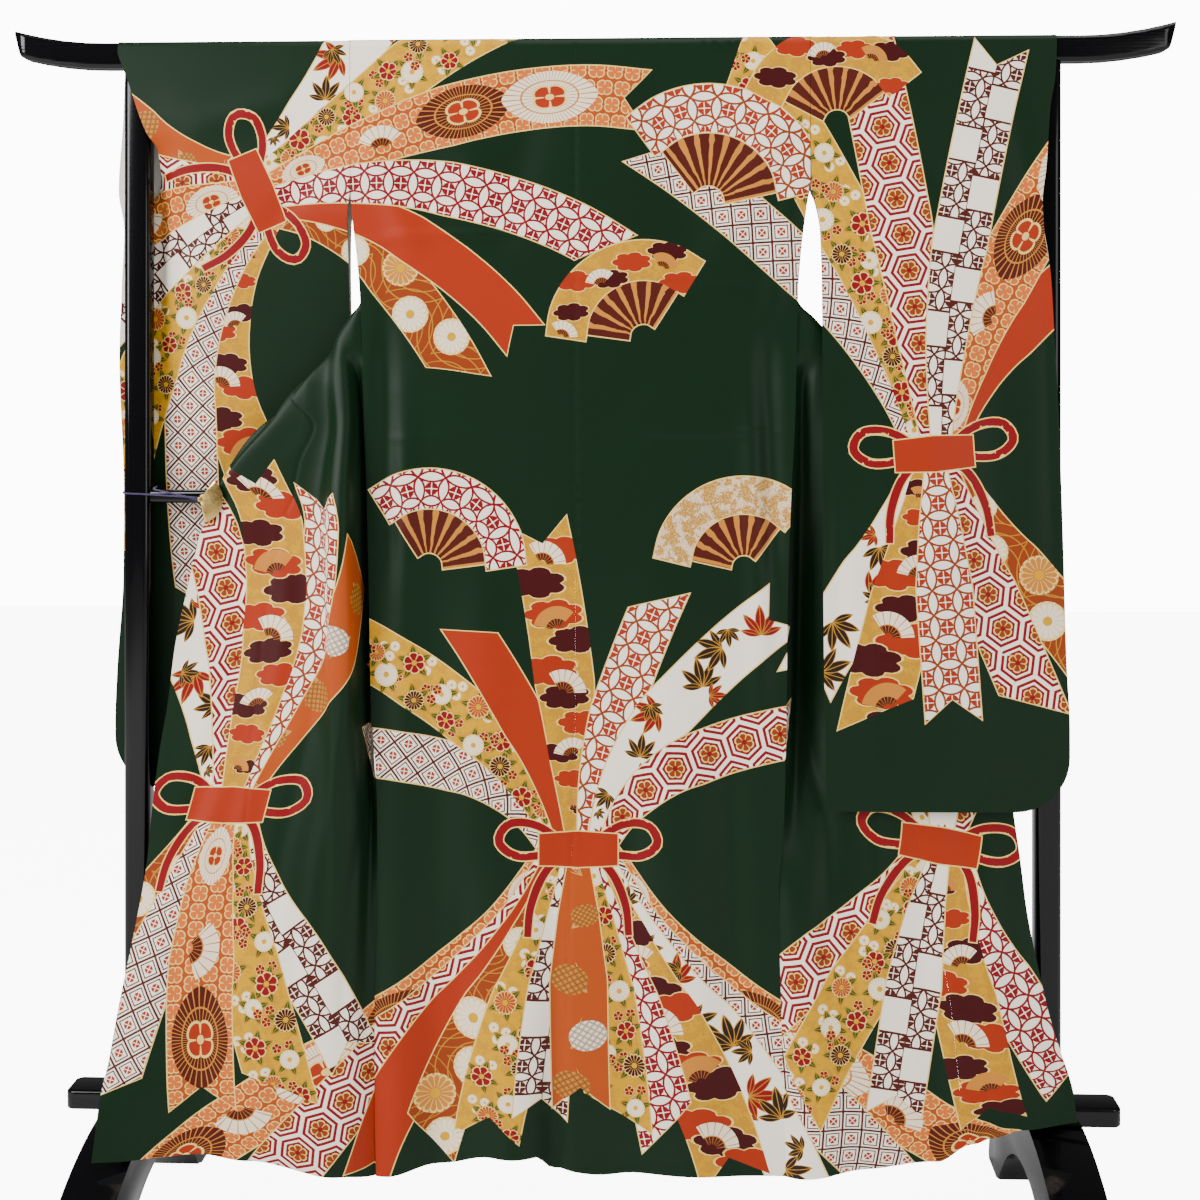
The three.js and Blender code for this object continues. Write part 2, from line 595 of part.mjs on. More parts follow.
// Sleeves: height, then six knots of the section as x and y, from the body outwards
const leftSleeveNear = [
  [1686, -337, -18.6, -420, -18.6, -500, -18.6, -580, -18.6, -630, -18.6, -671, -18.6],
  [1645, -336.5, -22, -420, -22, -500, -22, -576, -21.5, -622, -20.8, -655, -20.3],
  [1600, -336, -26, -420, -25, -500, -24.5, -573, -24, -612, -22, -640, -20.5],
  [1573, -335.5, -27.5, -420, -25, -500, -23.5, -570, -22, -603, -20.5, -629, -20],
  [1550, -335, -28.5, -420, -25, -500, -23, -566, -20, -597, -15, -616, -7],
  [1520, -334.5, -30, -420, -25, -500, -21, -566, -17, -598, -9, -615, 5],
  [1494, -334, -31, -420, -24, -500, -18, -570, -13, -602, 0, -621, 20],
  [1460, -338, -30, -420, -20, -500, -12, -588, 0, -616, 18.5, -650, 23],
  [1420, -340, -18, -420, -12, -505, -5, -594, 6, -620, 21.2, -668, 24],
  [1350, -340, -6, -425, -3, -515, 1, -598, 11, -626, 22.8, -678, 24.5],
  [1250, -339, 4, -430, 6, -520, 9, -601, 16, -632, 23.6, -682, 25],
  [1063, -337, 18, -430, 18, -520, 18, -602, 20.6, -637, 25.2, -676, 27],
  [940, -336, 20, -430, 20, -520, 21, -605, 23, -640, 26, -677, 28],
  [796, -335, 22, -430, 23, -520, 24, -608, 26, -646, 28.5, -687, 30],
  [720, -335, 23, -430, 24, -520, 25.5, -608, 27.5, -648, 29.5, -690, 31],
  [629, -334, 25, -430, 26, -520, 27.5, -608, 29.5, -650, 31, -690, 32],
];

const leftSleeveFar = [
  [1686, -337, 18.6, -420, 18.6, -500, 18.6, -580, 18.6, -630, 18.6, -671, 18.6],
  [1600, -336, 16, -420, 20, -500, 22, -580, 23, -632, 23.5, -676, 24],
  [1494, -334, 8, -420, 18, -500, 23, -580, 26, -634, 28, -684, 28.5],
  [1440, -339, 8, -420, 18, -500, 24, -590, 27, -636, 28.4, -676, 28.6],
  [1350, -341, 16, -425, 22, -515, 25, -598, 27, -640, 28.5, -680, 28.8],
  [1250, -340, 22, -430, 25, -520, 27, -601, 28, -640, 28.6, -682, 29],
  [1063, -338, 28, -430, 28, -520, 28, -602, 29, -640, 29.6, -676, 30],
  [940, -337, 28, -430, 28, -520, 28.5, -605, 29.6, -640, 30.2, -677, 31],
  [796, -336, 28, -430, 28.5, -520, 29, -608, 30.6, -646, 32, -687, 33],
  [720, -336, 28, -430, 28.5, -520, 29.5, -608, 31.2, -648, 33, -690, 34],
  [629, -335, 28, -430, 29, -520, 30.5, -608, 32.5, -650, 34, -690, 35],
];

const rightSleeveNear = [
  [1686, 313, -18.6, 385, -18.6, 455, -18.6, 525, -18.6, 592, -18.6, 656, -18.6],
  [1643, 312.8, -22.5, 385, -22.5, 455, -22.5, 525, -22.5, 590, -22.2, 653, -22],
  [1603, 312.7, -26, 385, -26, 454, -26, 523, -26, 586, -25.5, 646, -25],
  [1515, 312.5, -30, 385, -32, 454, -32.5, 522, -32.5, 582, -31, 639, -30],
  [1494, 312.4, -31, 385, -33.5, 454, -34, 521, -34, 580, -32.5, 636, -31],
  [1472, 318, -33, 385, -36, 454, -37, 520, -36.5, 578, -34.5, 633.5, -32.5],
  [1430, 325.5, -38, 388, -41, 455, -42, 520, -41, 578, -38.5, 635, -36.5],
  [1366, 326.5, -45, 389, -48, 456, -49, 522, -47, 582, -44, 643, -42],
  [1270, 327, -54, 390, -56, 457, -56, 524, -54, 586, -51, 647, -49],
  [1164, 327, -60, 390, -62, 458, -62, 526, -60, 589, -57, 651.5, -55],
  [1005, 327, -66, 391, -67.5, 459, -67, 528, -65, 592, -62, 656, -60],
  [840, 328, -69, 392, -70.5, 461, -70, 530, -68, 596, -65, 660, -63],
  [740, 329.5, -70.5, 393, -72, 462, -71.5, 532, -69.5, 599, -66.5, 664.5, -64.5],
  [629, 331, -72, 394, -73.5, 463, -73, 533, -71, 600, -68, 664.5, -66],
];

const rightSleeveFar = [
  [1686, 313, 18.6, 385, 18.6, 455, 18.6, 525, 18.6, 592, 18.6, 656, 18.6],
  [1645, 312.9, 17.5, 385, 18.5, 455, 19, 522, 19.2, 584, 19.5, 642, 20],
  [1600, 312.7, 16, 385, 17, 452, 17.5, 515, 18, 570, 18.3, 617, 18.5],
  [1550, 312.6, 12, 383, 12, 449, 11.5, 510, 11, 564, 9, 611, 6],
  [1515, 312.5, 9.5, 383, 7, 449, 5, 510, 2, 564, -3, 611, -10],
  [1494, 312.4, 8, 384, 3, 450, 0, 512, -4, 566, -10, 613, -18],
  [1472, 320, 1, 385, -5, 452, -9, 514, -14, 570, -20, 623, -26],
  [1430, 326.5, -13, 388, -20, 455, -24, 519, -27, 577, -30.5, 635, -34.3],
  [1366, 327.5, -32, 389, -36, 456, -38, 522, -39, 582, -39.5, 643, -39.8],
  [1270, 328, -45, 390, -48, 457, -49, 524, -48.5, 586, -47.5, 647, -46.8],
  [1164, 328, -53, 390, -56, 458, -56.5, 526, -55.5, 589, -54, 651.5, -52.8],
  [1005, 328, -60.5, 391, -62.5, 459, -62.5, 528, -61, 592, -59, 656, -57.8],
  [840, 329, -64.5, 392, -66.3, 461, -66.2, 530, -64.6, 596, -62.3, 660, -60.8],
  [740, 330.5, -66.6, 393, -68.3, 462, -68, 532, -66.4, 599, -64, 664.5, -62.3],
  [629, 332, -69.8, 394, -71.3, 463, -70.8, 533, -68.8, 600, -65.8, 664.5, -63.8],
];

function sleevePoint(table, height, share) {
  const row = readTable(table, height);
  const last = 5;
  const knot = share * last;
  const i = Math.min(Math.floor(knot), last - 1);
  const t = knot - i;
  const read = (n, axis) => row[1 + 2 * THREE.MathUtils.clamp(n, 0, last) + axis];
  const [x, y] = [0, 1].map((axis) => {
    const a = read(i, axis);
    const b = read(i + 1, axis);
    const slopeA = i === 0 ? b - a : (b - read(i - 1, axis)) / 2;
    const slopeB = i === last - 1 ? b - a : (read(i + 2, axis) - a) / 2;
    const t2 = t * t;
    const t3 = t2 * t;
    const ownShare = 2 * t3 - 3 * t2 + 1;
    return ownShare * a + (t3 - 2 * t2 + t) * slopeA + (-2 * t3 + 3 * t2) * b + (t3 - t2) * slopeB;
  });
  const outer = read(last, 0);
  const inset = sleeveCorner - Math.abs(outer - x);
  const lift = inset > 0 ? sleeveCorner - Math.sqrt(sleeveCorner ** 2 - inset ** 2) : 0;
  const blend = THREE.MathUtils.clamp((sleeveBottom + 130 - height) / 130, 0, 1);
  return new THREE.Vector3(x, y, height + lift * blend);
}

const nearRows = [629, 660, 700, 760, 850, 940, 1063, 1164, 1250, 1310, 1366, 1430, 1460, 1494, 1520, 1550, 1573, 1600, 1660];
const farRows = [1660, 1600, 1550, 1515, 1494, 1466, 1430, 1366, 1300, 1200, 1063, 940, 850, 760, 700, 660, 629];

// One sleeve strip: up the near layer, over the bar and down the far layer
function sleeveGrid(side, near, far) {
  const columns = [0, 0.12, 0.3, 0.5, 0.66, 0.76, 0.87, 1];
  const top = readTable(near, 1686);
  const grid = nearRows.map((height) => columns.map((share) => sleevePoint(near, height, share)));
  for (const degrees of overBar) {
    grid.push(columns.map((share) => barPoint(mix(top[1], top[11], share), degrees)));
  }
  grid.push(...farRows.map((height) => columns.map((share) => sleevePoint(far, height, share))));
  openSeam(grid, 0, 0.6);
  return side > 0 ? grid.map((row) => row.reverse()) : grid;
}

addMesh('sleeve_left', wallOf(sleeveGrid(-1, leftSleeveNear, leftSleeveFar), clothWall), printed);
addMesh('sleeve_right', wallOf(sleeveGrid(1, rightSleeveNear, rightSleeveFar), clothWall), printed);

// Clip and cord that hold the left front open
const fanPivot = { x: -544.5, y: -48.6, z: 1053 };
const fanRadius = 33;
const fanRibs = 9;

function fanGeometry() {
  const rings = [];
  const steps = fanRibs * 2;
  for (let i = 0; i <= steps; i += 1) {
    const angle = THREE.MathUtils.degToRad(mix(-78, 52, i / steps));
    const lift = i % 2 === 0 ? 0 : -1.1;
    const point = (radius, y) => new THREE.Vector3(Math.cos(angle) * radius, y + lift * (radius / fanRadius), Math.sin(angle) * radius);
    rings.push([point(4, -0.6), point(fanRadius, -0.6), point(fanRadius, 0.6), point(4, 0.6)]);
  }
  return loft(rings);
}

addMesh('clip_fan', fanGeometry(), gilt).position.set(fanPivot.x, fanPivot.y, fanPivot.z);

const pin = new THREE.CylinderGeometry(3.4, 3.4, 17, 16);
const pinMesh = addMesh('clip_pin', pin, gilt);
pinMesh.position.set(fanPivot.x, -41.8, fanPivot.z);

const jaw = new THREE.ExtrudeGeometry(roundedRectangle(33, 12, 4), { depth: 1.4, bevelEnabled: false, curveSegments: 3 });
const jawMesh = addMesh('clip_jaw', jaw, gilt);
jawMesh.rotation.x = Math.PI / 2;
jawMesh.position.set(fanPivot.x + 12, -31.6, fanPivot.z);

// Cord: from the pin to the post, once round it and back
const cordRadius = 1.2;
const postFace = postDepth / 2 + cordRadius + 0.4;
const cordRoute = [
  [-549.6, -40, 1055], [-575, -33, 1056], [-605, -25, 1057], [-628, -postFace - 0.6, 1058], [-655, -postFace, 1059],
  [-664.6, -14, 1060], [-665.8, 0, 1061], [-664.2, 13, 1062], [-656, postFace + 0.1, 1063.5], [-640, postFace + 0.2, 1065],
  [-628, postFace - 0.6, 1066.2], [-623.2, 10, 1066.8], [-622, -4, 1066.6], [-618, -18, 1065], [-600, -25, 1062],
  [-575, -31, 1057], [-549.6, -36, 1051],
].map(([x, y, z]) => new THREE.Vector3(x, y, z));
const cordCircle = new THREE.Shape();
cordCircle.absarc(0, 0, cordRadius, 0, Math.PI * 2);
const cord = new THREE.ExtrudeGeometry(cordCircle, {
  steps: 64,
  curveSegments: 4,
  extrudePath: new THREE.CatmullRomCurve3(cordRoute),
});
addMesh('clip_cord', cord, violet);

kimono.traverse((child) => {
  if (child.isMesh) {
    child.geometry.deleteAttribute('normal');
    child.geometry.deleteAttribute('uv');
    child.geometry = mergeVertices(child.geometry, 1e-3);
  }
});

export default kimono;
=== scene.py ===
import json
import math
import random

import bpy
import numpy as np
from mathutils import Vector
from mathutils.geometry import delaunay_2d_cdt
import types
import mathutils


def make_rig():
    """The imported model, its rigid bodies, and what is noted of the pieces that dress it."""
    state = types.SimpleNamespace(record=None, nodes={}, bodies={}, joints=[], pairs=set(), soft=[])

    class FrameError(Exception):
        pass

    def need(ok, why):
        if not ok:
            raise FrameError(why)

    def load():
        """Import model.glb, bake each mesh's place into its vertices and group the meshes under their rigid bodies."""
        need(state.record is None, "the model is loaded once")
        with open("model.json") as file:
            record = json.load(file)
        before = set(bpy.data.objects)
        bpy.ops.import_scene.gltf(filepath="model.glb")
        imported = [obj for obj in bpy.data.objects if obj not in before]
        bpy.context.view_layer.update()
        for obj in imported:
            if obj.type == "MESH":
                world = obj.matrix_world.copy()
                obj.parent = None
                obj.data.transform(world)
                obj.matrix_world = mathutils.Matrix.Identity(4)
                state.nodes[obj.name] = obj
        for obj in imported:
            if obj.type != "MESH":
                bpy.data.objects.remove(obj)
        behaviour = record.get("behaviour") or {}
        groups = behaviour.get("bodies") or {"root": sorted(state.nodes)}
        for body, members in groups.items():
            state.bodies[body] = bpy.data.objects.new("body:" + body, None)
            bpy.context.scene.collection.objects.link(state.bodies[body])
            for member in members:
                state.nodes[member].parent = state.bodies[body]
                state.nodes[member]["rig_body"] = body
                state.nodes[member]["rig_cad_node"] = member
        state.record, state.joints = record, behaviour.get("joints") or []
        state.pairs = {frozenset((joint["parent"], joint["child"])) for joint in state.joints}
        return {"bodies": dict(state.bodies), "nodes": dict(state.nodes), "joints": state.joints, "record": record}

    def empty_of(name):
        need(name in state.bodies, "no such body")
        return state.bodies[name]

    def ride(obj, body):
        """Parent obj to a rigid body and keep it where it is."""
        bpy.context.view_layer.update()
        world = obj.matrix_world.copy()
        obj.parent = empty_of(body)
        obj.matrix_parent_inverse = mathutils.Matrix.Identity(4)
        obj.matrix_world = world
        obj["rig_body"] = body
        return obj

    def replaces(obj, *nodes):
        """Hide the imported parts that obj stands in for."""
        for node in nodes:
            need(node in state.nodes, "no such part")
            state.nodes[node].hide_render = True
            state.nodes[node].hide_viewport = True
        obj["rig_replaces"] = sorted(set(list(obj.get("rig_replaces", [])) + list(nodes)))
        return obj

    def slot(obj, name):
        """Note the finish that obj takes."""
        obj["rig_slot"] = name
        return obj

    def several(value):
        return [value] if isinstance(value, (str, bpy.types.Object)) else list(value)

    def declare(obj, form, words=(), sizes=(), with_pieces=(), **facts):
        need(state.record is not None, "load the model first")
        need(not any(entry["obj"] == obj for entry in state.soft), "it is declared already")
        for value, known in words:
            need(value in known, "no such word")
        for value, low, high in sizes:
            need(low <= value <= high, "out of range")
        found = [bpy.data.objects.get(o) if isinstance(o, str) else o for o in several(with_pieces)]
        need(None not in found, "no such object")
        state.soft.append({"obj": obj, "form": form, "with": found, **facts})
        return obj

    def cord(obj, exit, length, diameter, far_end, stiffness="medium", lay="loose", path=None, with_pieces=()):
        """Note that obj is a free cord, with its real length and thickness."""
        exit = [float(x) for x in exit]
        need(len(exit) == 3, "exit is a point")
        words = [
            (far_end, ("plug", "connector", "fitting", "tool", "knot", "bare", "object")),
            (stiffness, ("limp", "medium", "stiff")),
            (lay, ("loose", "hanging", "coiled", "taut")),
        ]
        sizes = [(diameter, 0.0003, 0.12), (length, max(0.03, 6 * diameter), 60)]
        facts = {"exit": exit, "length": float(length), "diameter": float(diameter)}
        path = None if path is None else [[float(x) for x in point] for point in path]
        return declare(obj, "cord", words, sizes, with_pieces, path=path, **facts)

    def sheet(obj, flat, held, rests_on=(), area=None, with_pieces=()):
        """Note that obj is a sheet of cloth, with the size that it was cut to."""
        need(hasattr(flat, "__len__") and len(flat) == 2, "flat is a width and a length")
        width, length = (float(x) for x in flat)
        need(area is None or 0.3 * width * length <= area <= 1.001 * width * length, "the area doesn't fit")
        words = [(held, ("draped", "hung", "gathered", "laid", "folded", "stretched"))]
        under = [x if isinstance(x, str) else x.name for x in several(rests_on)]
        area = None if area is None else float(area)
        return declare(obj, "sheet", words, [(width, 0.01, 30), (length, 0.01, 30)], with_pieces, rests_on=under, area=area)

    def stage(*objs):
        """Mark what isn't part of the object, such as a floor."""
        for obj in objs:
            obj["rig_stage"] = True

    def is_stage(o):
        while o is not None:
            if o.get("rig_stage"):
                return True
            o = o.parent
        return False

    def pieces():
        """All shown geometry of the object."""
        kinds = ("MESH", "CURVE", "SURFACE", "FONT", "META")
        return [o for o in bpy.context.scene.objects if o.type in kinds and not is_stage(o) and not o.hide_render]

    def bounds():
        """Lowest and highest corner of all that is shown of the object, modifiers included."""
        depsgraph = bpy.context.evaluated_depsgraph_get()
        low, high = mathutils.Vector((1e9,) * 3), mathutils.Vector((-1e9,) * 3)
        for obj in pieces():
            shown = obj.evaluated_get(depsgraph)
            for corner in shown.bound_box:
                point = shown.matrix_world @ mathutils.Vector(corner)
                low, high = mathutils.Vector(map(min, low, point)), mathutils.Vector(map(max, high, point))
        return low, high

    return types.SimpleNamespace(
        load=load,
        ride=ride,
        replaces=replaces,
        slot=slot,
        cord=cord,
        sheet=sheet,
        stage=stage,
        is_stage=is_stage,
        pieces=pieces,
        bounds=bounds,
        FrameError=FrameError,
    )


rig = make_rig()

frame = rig.load()
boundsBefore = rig.bounds()
nodes = frame["nodes"]
rng = random.Random(11)
print("frame loaded:", len(nodes), "nodes")

# Cloth sizes, tables and motifs are in millimetres, ribbon paths and widths in centimetres.
# The scene is in metres.
mm = 0.001
cloth = {
    "wall": 1.0,            # thickness of a shell
    "seam": 0.02,           # half the gap between two pieces
    "gridStep": 4.0,        # spacing of the sampled surfaces
    "lowest": 122.0,
    "hemBlend": 330.0,      # below this the rows bend to the hem line
    "barY": 9.0,            # centre of the bar's rounded corners
    "barZ": 1695.5,
    "barRadius": 9.35,
    "backRelief": 1.5,      # strength of the back's folds and creases
    "seamDip": 0.9,         # how far the middle seam lies in
    "lineWidth": 3.0,       # half width of a sewn line
}
arcLength = cloth["barRadius"] * math.pi / 2
topHeight = cloth["barZ"] + arcLength + cloth["barY"]   # middle of the bar, measured along the cloth


def hermite(a, b, slopeA, slopeB, t):
    t2 = t * t
    t3 = t2 * t
    return (2 * t3 - 3 * t2 + 1) * a + (t3 - 2 * t2 + t) * slopeA + (3 * t2 - 2 * t3) * b + (t3 - t2) * slopeB


def addObject(name, data):
    thing = bpy.data.objects.new(name, data)
    bpy.context.scene.collection.objects.link(thing)
    return thing


def newMaterial(name):
    material = bpy.data.materials.new(name)
    material.use_nodes = True
    return material, material.node_tree, material.node_tree.nodes["Principled BSDF"]


# Every column of a table at the given heights, without overshoot
def readTable(table, heights):
    rows = np.array(table, float)
    at = rows[:, 0]
    rate = (rows[1:] - rows[:-1]) / (at[1:] - at[:-1])[:, None]
    slope = np.zeros_like(rows)
    slope[0], slope[-1] = rate[0], rate[-1]
    product = rate[:-1] * rate[1:]
    total = rate[:-1] + rate[1:]
    slope[1:-1] = np.where(product > 0, 2 * product / np.where(total == 0, 1, total), 0)
    heights = np.clip(heights, at[-1], at[0])
    i = np.clip(np.searchsorted(-at, -heights, side="right") - 1, 0, len(at) - 2)
    span = (at[i + 1] - at[i])[:, None]
    t = (heights[:, None] - at[i][:, None]) / span
    return hermite(rows[i], rows[i + 1], slope[i] * span, slope[i + 1] * span, t)


# A smooth line through each row's knots
def alongKnots(values, knots):
    slopes = np.empty_like(values)
    slopes[:, 1:-1] = (values[:, 2:] - values[:, :-2]) / 2
    slopes[:, 0] = values[:, 1] - values[:, 0]
    slopes[:, -1] = values[:, -1] - values[:, -2]
    i = np.clip(np.floor(knots).astype(int), 0, values.shape[1] - 2)
    return hermite(values[:, i], values[:, i + 1], slopes[:, i], slopes[:, i + 1], knots - i)


def smooth(t):
    t = np.clip(t, 0, 1)
    return t * t * (3 - 2 * t)


# Back: height, left edge, middle seam, right edge, depth
backTable = [
    [1686, -337, -17, 313, -18.6], [1600, -336, -17, 312.7, -26], [1494, -334, -16.5, 312.4, -31],
    [1467, -333, -16.5, 308, -32], [1400, -325, -16.5, 299.5, -35], [1345, -320, -16, 295.5, -37],
    [1270, -316, -16, 293.5, -40], [1163, -312.5, -16, 290.5, -44], [1055, -308, -15.5, 285, -48],
    [914, -304, -15, 280, -53], [774, -300.5, -15, 278, -58], [635, -291, -17, 275, -63],
    [496, -289, -22, 267, -68], [365, -292, -26, 269.5, -72], [228, -291.5, -31, 273.5, -76],
    [122, -288.5, -33.5, 277.3, -80],
]

# Hem height along the width
hemTable = [
    (-670, 170), (-620, 166), (-570, 167), (-527, 168.5), (-458, 157), (-333, 130), (-288, 122), (-212, 134),
    (-122, 154), (-68, 154), (-44, 131), (21, 124), (73, 129), (225, 130), (277, 130), (388, 144), (481, 156),
    (527, 182), (557, 193), (594, 205), (680, 218),
]

# Folds of the lower back: middle, half width, depth, height where each starts
backFolds = [(-262, 30, -9, 820), (-205, 24, 7, 760), (-100, 42, -16, 620), (-42, 18, 9, 620),
             (40, 60, 5, 700),
             (150, 55, -6, 760)]

# Fronts: height, okumi seam as a knot number, then ten knots of the section as x and y, from the side seam on
leftFront = [
    [1686, 9, -337, 18.6, -311, 18.6, -286, 18.6, -260, 18.6, -235, 18.6, -209, 18.6, -184, 18.6, -158,
     18.6, -133, 18.6, -107, 18.6],
    [1600, 9, -336, 16, -310, 17, -285, 18, -259, 18.5, -233, 19, -207, 19, -182, 19.5, -156, 19.5, -130,
     19.8, -105, 20],
    [1494, 9, -334, 8, -308, 11, -282, 13, -256, 14, -230, 15, -204, 16, -178, 16.5, -152, 17, -126, 17.5,
     -100, 18],
    [1440, 9, -325, 0, -300, 5, -275, 8, -249, 10, -223, 11, -197, 12, -170, 13, -143, 14, -116, 15, -90, 15],
    [1400, 9, -316, -12, -298, -4, -275, 2, -250, 5, -222, 7, -195, 8, -168, 9, -140, 10, -112, 11, -84, 12],
    [1345, 8.9, -318, -34, -313, -26, -302, -16, -280, -9, -250, -5, -215, -2, -180, 0, -145, 2, -110, 3,
     -78, 5],
    [1315, 8.7, -318.5, -36, -325, -36, -330, -33, -332, -27, -328, -19, -310, -13, -255, -9, -200, -6,
     -140, -3, -80, 0],
    [1270, 8, -315, -38, -330, -40, -344, -40, -353, -37, -357, -31, -351, -24, -320, -18, -250, -14, -175,
     -10, -92, -5],
    [1215, 6.5, -314, -40, -322, -28, -334, -52, -350, -53, -368, -43, -396, -40, -404, -34, -396, -27,
     -290, -18, -150, -12],
    [1157, 4.6, -312, -42, -318, -24, -328, -62, -346, -64, -364, -46, -400, -43, -441, -41, -452, -35,
     -441, -28, -225, -6],
    [1105, 4.6, -310, -43, -316, -20, -328, -72, -350, -74, -372, -47, -430, -43, -486, -41, -497, -37,
     -487, -29, -330, -6],
    [1063, 4.6, -308, -45, -315, -18, -327, -80, -352, -83, -376, -49, -440, -44, -512, -42, -524, -39,
     -515, -35, -440, -22],
    [1040, 4.7, -307.5, -46, -315, -16, -326, -84, -352, -87, -376, -51, -440, -46, -505, -45, -529, -42,
     -533, -38, -505, -30],
    [1015, 5, -307, -47, -315, -14, -326, -86, -352, -90, -376, -54, -430, -48, -475, -47, -505, -46, -527,
     -45, -541, -43],
    [937, 5, -304, -50, -313, -12, -324, -86, -350, -94, -374, -62, -444, -52, -475, -50, -505, -49, -535,
     -48, -560, -48],
    [845, 5, -302, -54, -311, -16, -322, -86, -349, -96, -374, -70, -456, -58, -489, -55, -520, -53, -550,
     -52, -579, -52],
    [771, 5, -300, -56, -309, -24, -320, -86, -347, -97, -374, -78, -462, -64, -495, -61, -527, -59, -558,
     -58, -587, -58],
    [698, 5, -296, -60, -307, -36, -317, -86, -344, -98, -374, -85, -466, -71, -500, -68, -534, -66, -566,
     -64, -598, -64],
    [609, 5, -289, -64, -302, -52, -313, -86, -340, -99, -372, -92, -472, -80, -507, -76, -541, -74, -575,
     -73, -607, -72],
    [552, 5, -288, -67, -302, -62, -314, -88, -340, -100, -372, -96, -480, -87, -513, -84, -546, -82, -579,
     -81, -610.5, -80],
    [445, 5, -289, -71, -303, -76, -317, -93, -342, -102, -374, -102, -492, -98, -525, -97, -560, -97, -594,
     -98, -626, -98],
    [366, 5, -291.5, -74, -305, -83, -320, -97, -345, -106, -378, -107, -500, -108, -535, -109, -570, -111,
     -606, -113, -639, -115],
    [294, 5, -291.5, -76, -306, -88, -322, -101, -348, -109, -380, -111, -508, -116, -543, -119, -579, -123,
     -614, -127, -648, -132],
    [227, 5, -291, -78, -307, -92, -324, -104, -350, -112, -383, -115, -518, -124, -552, -129, -588, -136,
     -622, -143, -656, -152],
    [122, 5, -288.5, -82, -306, -97, -324, -108, -350, -116, -384, -120, -527, -134, -562, -141, -596, -150,
     -629, -160, -659, -172],
]

rightFront = [
    [1686, 9, 313, 18.6, 286, 18.6, 260, 18.6, 233, 18.6, 206, 18.6, 180, 18.6, 153, 18.6, 126, 18.6, 100,
     18.6, 73, 18.6],
    [1600, 9, 312.7, 16, 286, 17, 259, 18, 232, 18.5, 205, 19, 178, 19, 151, 19.5, 124, 19.5, 97, 19.8, 70,
     20],
    [1494, 9, 312.4, 8, 285, 11, 257, 13, 230, 14, 203, 15, 175, 16, 148, 16.5, 120, 17, 92, 17.5, 65, 18],
    [1440, 9, 300, 0, 275, 5, 250, 8, 223, 10, 196, 11, 168, 12, 140, 13, 112, 14, 84, 15, 55, 15],
    [1400, 9, 290, -12, 272, -4, 249, 2, 223, 5, 195, 7, 167, 8, 138, 9, 109, 10, 80, 11, 50, 12],
    [1345, 8.9, 293, -34, 290, -26, 280, -16, 258, -9, 228, -5, 194, -2, 158, 0, 120, 2, 82, 3, 45, 5],
    [1310, 8.7, 292, -36, 303, -35, 312, -32, 316, -26, 310, -19, 288, -13, 232, -9, 172, -6, 110, -3, 48, 0],
    [1270, 8, 291.5, -38, 312, -38, 330, -37, 343, -34, 349, -29, 342, -23, 300, -18, 225, -14, 145, -10,
     60, -5],
    [1215, 6.5, 290, -40, 302, -26, 320, -36, 352, -40, 380, -38, 392, -33, 381, -25, 300, -19, 210, -14,
     115, -9],
    [1157, 4.6, 288, -42, 300, -21, 318, -30, 350, -40, 395, -41, 430, -39, 443, -33, 431, -25, 330, -12,
     200, -5],
    [1105, 4.6, 285.5, -44, 299, -18, 318, -26, 352, -38, 400, -43, 470, -41, 484, -34, 471, -26, 400, -16,
     300, -4],
    [1063, 4.6, 284, -46, 298, -16, 318, -22, 354, -36, 410, -45, 500, -42, 515, -35, 503, -27, 460, -22,
     400, -19],
    [1040, 4.7, 283, -46, 297, -14, 318, -20, 356, -36, 412, -46, 490, -44, 520, -40, 528, -33, 520, -26,
     500, -22],
    [1015, 5, 282, -47, 296, -10, 318, -16, 356, -36, 410, -46, 450, -46, 485, -44, 512, -42, 532, -38, 545,
     -33],
    [937, 5, 279.5, -50, 294, -4, 316, -10, 356, -36, 400, -48, 440, -49, 472, -47, 502, -44, 529, -40, 553,
     -36],
    [845, 5, 278, -54, 292, -4, 314, -10, 354, -38, 398, -50, 440, -51, 474, -49, 507, -46, 538, -43, 565,
     -40],
    [771, 5, 277, -56, 291, -10, 313, -16, 352, -42, 396, -52, 442, -53, 477, -51, 511, -49, 544, -46, 575,
     -43],
    [698, 5, 276, -59, 290, -24, 311, -28, 350, -46, 394, -53, 445, -54, 481, -52, 516, -50, 550, -48, 583,
     -46],
    [629, 5, 273.5, -61, 288, -44, 309, -44, 348, -50, 394, -55, 450, -56, 487, -54, 522, -52, 557, -50,
     590, -49],
    [560, 5, 269.5, -64, 286, -62, 309, -60, 348, -59, 398, -62, 462, -62, 498, -60, 533, -58, 567, -56,
     599, -55],
    [493, 5, 266, -67, 284, -74, 309, -75, 350, -69, 404, -68, 476, -67, 510, -65, 543, -63, 575, -61, 607,
     -60],
    [370, 5, 268.5, -71, 288, -82, 314, -84, 356, -76, 414, -73, 500, -76, 534, -76, 567, -75, 599, -74,
     631, -73],
    [228, 5, 272.5, -76, 294, -88, 322, -91, 366, -82, 424, -78, 514, -84, 552, -86, 590, -87, 628, -87,
     665, -88],
    [122, 5, 276, -81, 298, -93, 328, -97, 372, -87, 432, -82, 527, -90, 563, -93, 599, -95, 634, -95, 668,
     -96],
]

